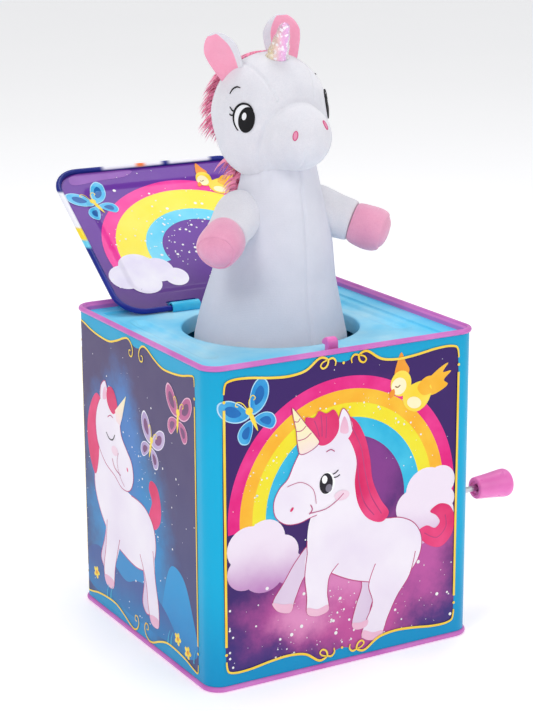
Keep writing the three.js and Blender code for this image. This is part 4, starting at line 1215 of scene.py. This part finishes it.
def ellipsoid_distance(p, centre, radii):
    q = (p - centre) / radii
    k0 = np.linalg.norm(q, axis=1)
    k1 = np.linalg.norm(q / radii, axis=1)
    return k0 * (k0 - 1) / (k1 + 1e-9)


def head_distance(p):
    """Signed distance to the stuffed head: skull, cheeks and muzzle, softly joined."""
    parts = [
        ellipsoid_distance(p, *CRANIUM),
        ellipsoid_distance(p, *MUZZLE),
        ellipsoid_distance(p, np.array([0, -3.5, 233.0]), np.array([24.5, 19, 16.5])),
    ]
    joined = parts[0]
    for part, soft in zip(parts[1:], (1.8, 7.0)):
        h = np.clip(0.5 + 0.5 * (joined - part) / soft, 0, 1)
        joined = joined * (1 - h) + part * h - soft * h * (1 - h)
    return joined


def seam_profile(distance, width):
    return np.exp(-((distance / width) ** 2))


def head_seams(p):
    """Depth of the pulled-in seams at points of the head."""
    away = (p - np.array([0.4, -21.2, 240.2])) @ np.array([0, -0.954, -0.30])
    reach = np.linalg.norm((p - MUZZLE[0])[:, [0, 2]], axis=1)
    ring = seam_profile(away, 0.8) * (reach < 22)
    over = (p[:, 2] > 249) & (p[:, 1] > -24) & (p[:, 1] < 8)
    gusset_x = 8.2 + 0.30 * (p[:, 2] - 251)
    gusset = seam_profile(np.abs(p[:, 0]) - np.where(over, gusset_x, 999), 0.75)
    chin = seam_profile(p[:, 0] + 3.0, 0.6) * ((p[:, 1] < -20) & (p[:, 2] < 237))
    return np.maximum.reduce([ring, gusset, chin * 0.7])


def get_points(obj):
    data = np.empty(len(obj.data.vertices) * 3)
    obj.data.vertices.foreach_get("co", data)
    return data.reshape(-1, 3) / MM


def set_points(obj, points):
    obj.data.vertices.foreach_set("co", (np.asarray(points) * MM).ravel())
    obj.data.update()


def inflate(obj, seam_depth, cap, pressure=4.0):
    """Stuff a sewn shell: cloth under pressure with its seams held, no point moving further than cap."""
    start = get_points(obj)
    group = obj.vertex_groups.new(name="seams")
    for index, depth in enumerate(seam_depth):
        if depth > 0.3:
            group.add([index], float(min(depth, 1)), "REPLACE")
    cloth = obj.modifiers.new("stuffing", "CLOTH")
    settings = cloth.settings
    settings.use_pressure = True
    settings.uniform_pressure_force = pressure
    settings.vertex_group_mass = "seams"
    settings.effector_weights.gravity = 0
    settings.tension_stiffness = settings.compression_stiffness = 18
    settings.bending_stiffness = 2
    settings.quality = 5
    scene = bpy.context.scene
    for step in range(1, 21):
        scene.frame_set(step)
    evaluated = obj.evaluated_get(bpy.context.evaluated_depsgraph_get())
    data = np.empty(len(evaluated.data.vertices) * 3)
    evaluated.data.vertices.foreach_get("co", data)
    moved = data.reshape(-1, 3) / MM - start
    obj.modifiers.remove(cloth)
    obj.vertex_groups.clear()
    length = np.linalg.norm(moved, axis=1, keepdims=True)
    set_points(obj, start + moved * np.minimum(1, cap / (length + 1e-9)))
    scene.frame_set(1)
    return obj


def sphere_points(detail):
    mesh = bmesh.new()
    bmesh.ops.create_icosphere(mesh, subdivisions=detail, radius=1)
    verts = np.array([v.co[:] for v in mesh.verts])
    faces = [tuple(v.index for v in f.verts) for f in mesh.faces]
    mesh.free()
    return verts, faces


def stuffed_head(material):
    """The head: a stuffed shell found along rays from its middle, inflated, then seamed."""
    rays, faces = sphere_points(6)
    middle = np.array([0, -8, 242.0])
    low, high = np.zeros(len(rays)), np.full(len(rays), 60.0)
    for _ in range(26):
        half = (low + high) / 2
        inside = head_distance(middle + rays * half[:, None]) < 0
        low, high = np.where(inside, half, low), np.where(inside, high, half)
    points = middle + rays * (low[:, None] - 0.8)
    head = new_object("head_plush", points, faces, [material])
    inflate(head, head_seams(points), 1.1)
    subdivide(head)
    points = get_points(head)
    outward = points - middle
    outward /= np.linalg.norm(outward, axis=1, keepdims=True)
    wobble = np.array([noise.noise(Vector(p) * 0.09) for p in points])
    points = points - outward * (head_seams(points) * SEAM_DEPTH - wobble * 0.25)[:, None]
    set_points(head, points)
    return place(head, "puppet", "white_plush", "head")


class Skin:
    """Finds places on a finished plush surface, to sew things onto it."""

    def __init__(self, obj):
        self.tree = BVHTree.FromObject(obj, bpy.context.evaluated_depsgraph_get())

    def at(self, centre, right, up, x, y, lift):
        """The surface under (x, y) of a plane through centre, lifted along the ray."""
        into = right.cross(up) * -1
        origin = (centre + right * x + up * y - into * 12) * MM
        hit, normal, _, _ = self.tree.ray_cast(origin, into, 0.05)
        if hit is None:
            hit, normal, _, _ = self.tree.find_nearest(origin)
        return hit / MM + normal * lift


def sewn_patch(name, skin, frame_axes, outline, lift, thick, material, rings=8):
    """A flat stitched area that follows the plush, slightly domed, from a star-shaped outline."""
    centre, right, up = frame_axes
    points = np.array(spline(outline, True, 5))
    middle = points.mean(axis=0)
    verts = []
    count = len(points)
    levels = [(1.0, -0.25), (1.0, 0.6), (0.96, 1.0)] + [(1 - k / rings, 1.0) for k in range(1, rings)]
    for share, rise in levels:
        for p in points:
            x, y = middle + (p - middle) * share
            verts.append(tuple(skin.at(centre, right, up, x, y, lift + thick * rise)))
    faces = ring_faces(len(levels), count) + ring_caps(len(levels), count)[1:]
    return recalc(new_object(name, verts, faces, [material]))


def sewn_line(name, skin, frame_axes, path, radius, material, taper=None):
    centre, right, up = frame_axes
    points = [tuple(skin.at(centre, right, up, x, y, radius * 0.35)) for x, y in spline(path, False, 6)]
    return tube(name, points, radius, material, 8, taper)


def face_axes(centre, outward, tilt=0.0):
    """A tangent plane on the head: its centre, and the right and up directions seen from outside."""
    out = Vector(outward).normalized()
    right = Vector((0, 0, 1)).cross(out).normalized()
    up = out.cross(right)
    turn = Matrix.Rotation(math.radians(tilt), 3, out)
    return Vector(centre), turn @ right, turn @ up


def eye(side, skin, black, white):
    """An embroidered eye: white crescent and black outline on the outer side, pupil, glint, lashes and brow.

    A positive side * x points away from the nose.
    """
    axes = face_axes((side * 22, -16, 249.6 + side * 1.6), (side * 0.69, -0.71, 0.05), side * 6)
    taper = lambda t: 0.35 + 0.65 * math.sin(math.pi * min(max(t, 0.05), 0.95))
    parts = [
        sewn_patch("white", skin, axes, oval_outline(4.7, 6.1, side * 0.9, 0.2, side * 4), 0.05, 0.22, white),
        sewn_patch("pupil", skin, axes, oval_outline(3.9, 5.8, -side * 0.9, -0.5, side * 6), 0.2, 0.3, black),
        sewn_patch("glint", skin, axes, oval_outline(1.05, 1.7, side * 0.2, 1.0, side * 6), 0.5, 0.18, white),
    ]
    rim = [(side * 2.8, -5.8), (side * 4.8, -3.2), (side * 5.6, 0.6), (side * 4.6, 4.2), (side * 2, 6.3),
           (-side * 1.2, 6.2), (-side * 3.4, 4.2)]
    parts.append(sewn_line("rim", skin, axes, rim, 0.52, black, lambda t: 0.6 + 0.5 * math.sin(math.pi * t)))
    lashes = [[(side * 5.0, 2.6), (side * 6.6, 2.6), (side * 8.2, 4.0)],
              [(side * 5.3, 0.9), (side * 7, 0.4), (side * 8, 0.8)]]
    for lash in lashes:
        parts.append(sewn_line("lash", skin, axes, lash, 0.36, black, taper))
    brow = [(side * 9.4, 9.4), (side * 8.4, 11.6), (side * 6.4, 13), (side * 4.6, 12.9)]
    parts.append(sewn_line("brow", skin, axes, brow, 0.38, black, taper))
    return parts


def embroidered_face(head, black, white, pink):
    skin = Skin(head)
    for side, word in ((-1, "left"), (1, "right")):
        made = join_objects(f"eye_embroidery_{word}", eye(side, skin, black, white))
        place(made, "puppet", "white_plush")
        axes = face_axes((side * 8.2, -37.5, 243.7 + side * 1.8), (side * 0.42, -0.9, 0.1), side * 12)
        nostril = join_objects(f"nostril_{word}", [
            sewn_patch("fill", skin, axes, oval_outline(0.9, 1.8), 0.02, 0.16, pink[0]),
            sewn_line("edge", skin, axes, oval_outline(1.0, 2.0) + oval_outline(1.0, 2.0)[:1], 0.24, pink[1]),
        ])
        place(nostril, "puppet", "pink_plush")


def aimed(direction, spin=0.0):
    turn = Vector((0, 0, 1)).rotation_difference(Vector(direction))
    return turn.to_matrix() @ Matrix.Rotation(spin, 3, "Z")


def turned(profile, origin, direction, name, materials, shape):
    """A lathed stuffed shape; shape(angle, height) adds to its radius."""
    around = 48
    turn = aimed(direction)
    heights = np.array([p[1] for p in profile], float)
    top, bottom = heights.max(), heights.min()
    loops = []
    for r, h in spline(profile, False, 5):
        ring = []
        for k in range(around):
            a = 2 * math.pi * k / around
            extra = shape(a, (h - bottom) / (top - bottom))
            radius = max(r + extra * min(1, max(r, 0) / 2), 0.02)
            out = Vector((radius * math.cos(a), radius * math.sin(a), h))
            ring.append(tuple(Vector(origin) + turn @ out))
        loops.append(ring)
    return loft(name, loops, materials, cap=True)


def unicorn_horn(material):
    profile = [(6.0, -3), (5.8, 0), (5.2, 4), (4.5, 8), (3.8, 12), (3.1, 15.6), (2.5, 18.6), (1.6, 20.4), (0.1, 21.1)]
    ridge = lambda a, t: 0.16 * math.sin(a + 9 * t * math.pi) + 0.1 * math.sin(3 * a + 4 * t)
    made = turned(profile, (-0.3, -6.2, 270.2), (0, -9.8, 20.8), "horn_cone", [material], ridge)
    return place(made, "puppet", "glitter_fabric", "horn")


def plush_ear(side, white, pink):
    """A folded ear: white back, pink lining in a hollow front, a rolled seam between them."""
    spec = {
        -1: dict(base=(-16.8, 1.5, 262.0), up=(-10.2, 0.5, 20.6), width=8.0, height=26.6, spin=-0.8,
                 lining=(0.515, 0.86)),
        1: dict(base=(9.0, 2.5, 267.6), up=(-1.6, 0.3, 22.6), width=8.6, height=25.2, spin=-0.3,
                lining=(0.64, 0.985)),
    }[side]
    turn = aimed(spec["up"], spec["spin"])
    rows, columns = 26, 40
    heights = [1 - (1 - j / rows) ** 1.9 for j in range(rows + 1)]  # closer rows round the tip
    verts = []
    for t in heights:
        tip = math.sqrt(max(1 - max((t - 0.6) / 0.4, 0) ** 2.2, 0.004))
        broad = spec["width"] * tip * np.interp(t, [0, 0.25, 0.5, 0.7, 1], [0.62, 0.84, 1.0, 1.04, 0.9])
        for k in range(columns):
            a = 2 * math.pi * k / columns
            x = broad * math.cos(a)
            bulge = 2.5 * math.sin(a) * (0.3 + 0.7 * tip)
            lining = math.sin(a) < 0
            hollow = 3.4 * (1 - (x / (broad + 0.01)) ** 2) * math.sin(math.pi * min(t + 0.12, 1)) if lining else 0
            y = bulge * (1 - 0.35 * t) + hollow
            verts.append(tuple(Vector(spec["base"]) + turn @ Vector((x, y, t * spec["height"] - 1))))
    faces = ring_faces(rows + 1, columns) + ring_caps(rows + 1, columns)
    start, end = spec["lining"]
    pink_at = [start < (k + 0.5) / columns < end for k in range(columns)]
    indexes = [int(inside and t < 0.965) for t in heights[:-1] for inside in pink_at] + [0, 0]
    word = "left" if side < 0 else "right"
    made = recalc(new_object(f"ear_plush_{word}", verts, faces, [white, pink], indexes=indexes))
    subdivide(made)
    return place(made, "puppet", "white_plush", f"ear_{word}")


def skirt_radius(z):
    radii, heights = zip(*SKIRT)
    return np.interp(z, heights, radii)


def skirt_surface(angle, z):
    """A point of the fabric cone: round, leaning with the puppet, slack between its folds."""
    low = smoothstep(SKIRT[-1][1] - z, 0, 80)
    fold = 0.55 * math.sin(3 * angle + 0.02 * z + 1.0) + 0.35 * math.sin(5 * angle - 0.031 * z)
    ripple = 0.8 * noise.noise(Vector((math.cos(angle) * 1.7, math.sin(angle) * 1.7, z * 0.018)))
    seam = 0.7 * math.exp(-(((angle + math.pi / 2 - 0.05) * skirt_radius(z) / 0.9) ** 2))
    gather = 0.25 * math.cos(22 * angle) * (1 - smoothstep(SKIRT[-1][1] - z, 0, 14))
    r = skirt_radius(z) - 0.5 + low * (fold + ripple) * 0.55 + gather - seam
    dx, dy = lean(z)
    return (dx + r * math.cos(angle), dy + r * math.sin(angle), z)


def skirt_cone(material):
    heights = np.concatenate([np.linspace(4.8, 138, 40), np.linspace(140, SKIRT[-1][1], 66)])
    angles = [-math.pi / 2 - 0.4 + 2 * math.pi * k / 240 for k in range(240)]
    wrap = lambda a: (a + math.pi) % (2 * math.pi) - math.pi
    loops = [[skirt_surface(wrap(a), float(z)) for a in angles] for z in heights]
    made = loft("skirt_fabric", loops, [material])
    solid = made.modifiers.new("thickness", "SOLIDIFY")
    solid.thickness = 0.7 * MM
    solid.offset = -1
    apply_modifiers(made)
    place(made, "box", "skirt_fabric", "puppet_skirt")
    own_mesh(made)


def plush_arm(side, white, pink, sole):
    """A sleeve with its hoof: stuffed, a ring seam at the wrist and a round sole seam."""
    word = "left" if side < 0 else "right"
    shoulder = Vector((side * 15.4, -2.2, 203.8))
    direction = Vector((side * 0.70, -0.65, -0.295)).normalized()
    swell = lambda a, t: 0.35 * math.sin(2 * a + 4 * t) + 0.25 * math.sin(3 * a - 5 * t)
    wrist, sole_edge = 25.6, 41  # the sewn rings, along the arm
    sleeve_profile = [(9.4, 0), (11.4, 3.5), (12.0, 8), (11.2, 13), (10.2, 17.5), (9.7, 21), (9.5, 24), (8.9, 25.5),
                      (7.5, 25.7)]
    sleeve = turned(sleeve_profile, shoulder, direction, f"sleeve_{word}", [white], swell)
    hoof_profile = [(7.5, 25.9), (9.0, 26.0), (9.9, 27.6), (10.4, 31), (10.4, 34.6), (9.9, 38), (9.0, 40.2),
                    (8.3, 41.0), (7.8, 40.9), (7.0, 41.6), (5, 42.8), (2.4, 43.4), (0.1, 43.6)]
    hoof = turned(hoof_profile, shoulder, direction, f"hoof_plush_{word}", [pink, sole], swell)
    for piece, slot, node in ((sleeve, "white_plush", f"arm_{word}"), (hoof, "pink_plush", f"hoof_{word}")):
        seams = np.zeros(len(piece.data.vertices))
        points = get_points(piece)
        along = (points - np.array(shoulder)) @ np.array(direction)
        seams[np.abs(along - (wrist if piece is sleeve else sole_edge)) < 0.9] = 1
        seams[along < 1.5] = 1
        inflate(piece, seams, 0.5)
        subdivide(piece)
        place(piece, "puppet", slot, node)


TUFT_STEPS = 5
TUFT_FACES = ring_faces(TUFT_STEPS + 1, 4) + ring_caps(TUFT_STEPS + 1, 4)


def fur_tuft(verts, faces, root, out, droop, length, width):
    """One lock of fur: a curved tapering blade with a crease down it."""
    side = out.cross(droop).normalized() if out.cross(droop).length > 1e-3 else out.orthogonal().normalized()
    side = Matrix.Rotation(rng.uniform(-1.2, 1.2), 3, out) @ side
    base = len(verts)
    for i in range(TUFT_STEPS + 1):
        t = i / TUFT_STEPS
        centre = root + out * (length * t * (1 - 0.35 * t)) + droop * (length * 0.75 * t * t)
        half = width * (1 - t) ** 0.7 * 0.5 + 0.02
        ridge = side.cross(out).normalized() * half * 0.5
        verts += [tuple(centre + away) for away in (-side * half, ridge, side * half, -ridge)]
    faces.extend(tuple(base + i for i in face) for face in TUFT_FACES)


def fur_mane(head, material):
    """A strip of long faux fur sewn from between the ears down the back of the neck."""
    skin = Skin(head)
    verts, faces = [], []
    nape = 0.78  # the share of the strip that lies on the head
    for _ in range(3400):
        t = rng.random()
        angle = math.radians(82 - 132 * t)  # from behind the crown, down the back
        across = rng.gauss(0, 9.5) * (0.75 + 0.6 * math.sin(math.pi * min(1, t + 0.15)))
        across = max(-21, min(21, across))
        y, z = 27.5 * math.cos(angle), 247 + 28 * math.sin(angle)
        if t > nape:
            y, z = 14 + 4 * rng.random() - (t - nape) * 40, 228 - (t - nape) * 105
        probe = Vector((across, max(y, 2), z))
        hit, normal, _, _ = skin.tree.find_nearest(probe * MM)
        root = hit / MM if t <= nape else Vector((across * 0.75, max(y, 6), z))
        outward = normal if t <= nape else Vector((across * 0.05, 1, -0.1)).normalized()
        jitter = Vector([rng.gauss(0, 0.22) for _ in range(3)])
        out = (outward + jitter + Vector((0.035 * across, 0.1, 0))).normalized()
        length = rng.uniform(6, 10.5) * (0.55 + 0.45 * min(1, t * 5))
        droop = (Vector((0, 0, -1)) + Vector((0.02 * across, 0.1, 0))).normalized()
        width = rng.uniform(1.2, 2.5) if t <= nape else rng.uniform(2.0, 3.8)
        fur_tuft(verts, faces, root - outward * 0.6, out, droop, length, width)
    made = new_object("mane_fur", verts, faces, [material])
    recalc(made)
    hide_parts("mane")
    return place(made, "puppet", "fur")


def puppet():
    white = plush("plush_white", "E7E6EC", "CACAD5")
    pink = plush("plush_pink", "EFA9C6", "D987AC", 0.7, 0.5)
    sole = plush("plush_pink_sole", "F0A2BE", "D97FA2", 0.9, 0.6)
    lining = plush("plush_ear_lining", "FBAFC9", "F38FB2", 0.7, 0.5)
    cone = knit("skirt_knit", "E3E3EC", "CCCEDA")
    black = thread("thread_black", "050507", "121016")
    bright = thread("thread_white", "FFFFFF", "E4E4EC")
    rosy = (thread("thread_pink", "F2A4C2", "E487AC"), thread("thread_rose", "E2608F", "D04E7E"))
    head = stuffed_head(white)
    embroidered_face(head, black, bright, rosy)
    unicorn_horn(glitter_material())
    for side in (-1, 1):
        plush_ear(side, white, lining)
        plush_arm(side, white, pink, sole)
    fur_mane(head, fur_material())
    skirt_cone(cone)


# ---------------------------------------------------------------- crank, latch, insides


def crank_wire_piece(material):
    """Steel wire: shaft, arm and knob pin with round bends."""
    shaft, pin = Vector((ARM_X, CRANK_Y, CRANK_Z)), Vector((ARM_X, PIN_Y, PIN_Z))
    arm = (pin - shaft).normalized()
    bend = lambda a, b, c: [tuple((1 - t) ** 2 * a + 2 * t * (1 - t) * b + t * t * c) for t in np.linspace(0, 1, 12)]
    x = Vector((1, 0, 0))
    path = [(43.4, CRANK_Y, CRANK_Z), (60, CRANK_Y, CRANK_Z)]
    path += bend(shaft - x * 5, shaft, shaft + arm * 5)
    path += bend(pin - arm * 5, pin, pin + x * 5)
    path += [(90, PIN_Y, PIN_Z), (108.4, PIN_Y, PIN_Z)]
    made = tube("crank_wire_bent", path, 1.4, material, 20)
    return place(made, "crank", "steel", "crank_wire")


def crank_knob_piece(material):
    """A tapered knob with a rolled end, a mould line and a recess where the wire goes in."""
    profile = [(1.9, 109), (1.9, 93.2), (3.1, 92.6), (3.6, 91.6), (4.6, 91.5), (5.2, 91.9), (5.45, 92.8), (5.7, 96),
               (6.2, 101), (6.7, 105.6), (6.95, 108), (6.9, 109.6), (6.3, 110.8), (4.8, 111.35), (2.4, 111.5),
               (0.05, 111.5)]
    loops = []
    for r, x in spline(profile, False, 4):
        ring = []
        for k in range(64):
            a = 2 * math.pi * k / 64
            mould = 0.07 * math.exp(-((math.sin(a) * r / 0.18) ** 2)) if r > 5 else 0
            ring.append((x, PIN_Y + (r + mould) * math.cos(a), PIN_Z + (r + mould) * math.sin(a)))
        loops.append(ring)
    made = loft("crank_knob_moulded", loops, [material], cap=True)
    smooth_by_angle(made, 50)
    return place(made, "knob", "pink_plastic", "crank_knob")


def latch_button_piece(material):
    """The moulded latch: rounded block with a sloped nose over the lid's edge."""
    outline = [(-59.3, 134), (-53.5, 134), (-53.5, 149.8), (-53.2, 150.3), (-50.7, 150.3), (-50.5, 150.7),
               (-50.9, 151.2), (-52.2, 152.2), (-53.4, 152.8), (-54.6, 153), (-55.6, 152.8), (-56.5, 152.1),
               (-56.95, 151), (-57, 149), (-57, 140), (-59.3, 140)]
    loops = []
    for x, pinch in ((-2.75, 1), (-2.62, 0.5), (-2.3, 0.15), (-1.8, 0), (1.8, 0), (2.3, 0.15), (2.62, 0.5), (2.75, 1)):
        loops.append([(x, y + (-55.2 - y) * pinch * 0.3, z + (144 - z) * pinch * 0.1) for y, z in outline])
    made = loft("latch_button_moulded", loops, [material], cap=True)
    smooth_by_angle(made, 30)
    return place(made, "latch", "pink_plastic", "latch_button")


def spring_piece(material):
    """The puppet's spring: a coil of even pitch that narrows from 33 mm to 13 mm radius as it rises, leaning with the
    puppet.
    """
    turns, steps = 9, 9 * 28
    path = []
    for i in range(steps + 1):
        t = i / steps
        angle = t * turns * 2 * math.pi
        r = 33 + (13 - 33) * t * t
        z = SPRING_LOW + (SPRING_HIGH - SPRING_LOW) * t
        dx, dy = lean(z)
        path.append((dx + r * math.cos(angle), dy + r * math.sin(angle), z))
    made = tube("puppet_spring", path, 0.9, material, 8)
    place(made, "box", "steel", "main_spring")
    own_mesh(made)


def dress_cad_nodes(steel, brass, white):
    """The CAD nodes that no piece replaces keep their meshes, and get real materials."""
    finish = {"steel": steel, "brass": brass, "white_plastic": white}
    slots = {s["node"]: s["material_slot"] for s in frame["record"]["subparts"]}
    for name, obj in frame["nodes"].items():
        if obj.hide_render or slots.get(name) not in finish:
            continue
        obj.data.materials.clear()
        obj.data.materials.append(finish[slots[name]])


# ---------------------------------------------------------------- stage


def stage():
    """A plain pale floor that bends up far behind, soft lights and the camera."""
    floor_shader = Shader("floor_pale", Roughness=0.7, Emission_Strength=0.3, Emission_Color=(1, 1, 1, 1))
    floor_shader.feed("Base Color", floor_shader.mix(floor_shader.noise(3, 2), "F6F6F8", "FAFAFB"))
    size = 12000
    floor = new_object("floor", [(-size, -size, 0), (size, -size, 0), (size, size, 0), (-size, size, 0)],
                       [(0, 1, 2, 3)], [floor_shader.material])
    world = bpy.data.worlds.new("studio")
    world.use_nodes = True
    world.node_tree.nodes["Background"].inputs["Color"].default_value = (0.98, 0.985, 1.0, 1)
    world.node_tree.nodes["Background"].inputs["Strength"].default_value = 0.56
    bpy.context.scene.world = world
    lights = [
        ("key", (-1.0, -0.5, 1.35), 0.6, 7),
        ("fill", (0.7, -1.3, 0.8), 1.0, 4),
        ("top", (0.3, 0.35, 1.5), 0.7, 6.5),
    ]
    for name, place_at, size_m, watts in lights:
        data = bpy.data.lights.new(name, "AREA")
        data.size = size_m
        data.energy = watts
        lamp = bpy.data.objects.new(name, data)
        lamp.location = place_at
        lamp.rotation_euler = (Vector((0, 0, 0.14)) - Vector(place_at)).to_track_quat("-Z", "Y").to_euler()
        bpy.context.scene.collection.objects.link(lamp)
    scene = bpy.context.scene
    scene.view_settings.view_transform = "Standard"
    scene.view_settings.look = "None"


def camera():
    """The photograph's viewpoint: left of the front, a little above the lid."""
    data = bpy.data.cameras.new("camera")
    data.lens = 98.6
    data.sensor_width = 36
    data.clip_end = 20
    cam = bpy.data.objects.new("camera", data)
    cam.location = (-0.4414, -0.7766, 0.3724)
    aim = Vector((-0.0023, 0, 0.1319)) - cam.location
    turn = aim.to_track_quat("-Z", "Y").to_matrix() @ Matrix.Rotation(math.radians(-0.28), 3, "Z")
    cam.rotation_euler = turn.to_euler()
    bpy.context.scene.collection.objects.link(cam)
    bpy.context.scene.camera = cam


# ---------------------------------------------------------------- build

camera()
stage()
blue, pink = deck_blue(), seam_pink()
steel = metal("steel_plated", "C9CBD0", "9FA2A8")
brass = metal("brass_stamped", "C9A35A", "9C7A3C")
pink_plastic = plastic("plastic_pink", "F77ECB", "EE6DC0")
white_plastic = plastic("plastic_white", "ECECE6", "DEDED8")

tin_body(varnished_blue())
tin_base(pink)
tin_deck(blue, pink, ink("hinge_tab", "35BDE6", "63D2F2"))
inks = all_inks()
purple = faded_ink("lid_purple", "4B2476", "6B34A0", "Z", 148, 185)
tin_lid(purple, lid_roll_ink(), ink("lid_outer", "22308F", "2F45B0"))
front_picture("front", inks, "front_print")
front_picture("back", inks, "back_print")
side_picture("left", inks, "left_print")
side_picture("right", inks, "right_print")
lid_inside_picture(inks)
lid_outside_picture(inks)

puppet()
crank_wire_piece(steel)
crank_knob_piece(pink_plastic)
latch_button_piece(pink_plastic)
spring_piece(steel)
dress_cad_nodes(steel, brass, white_plastic)
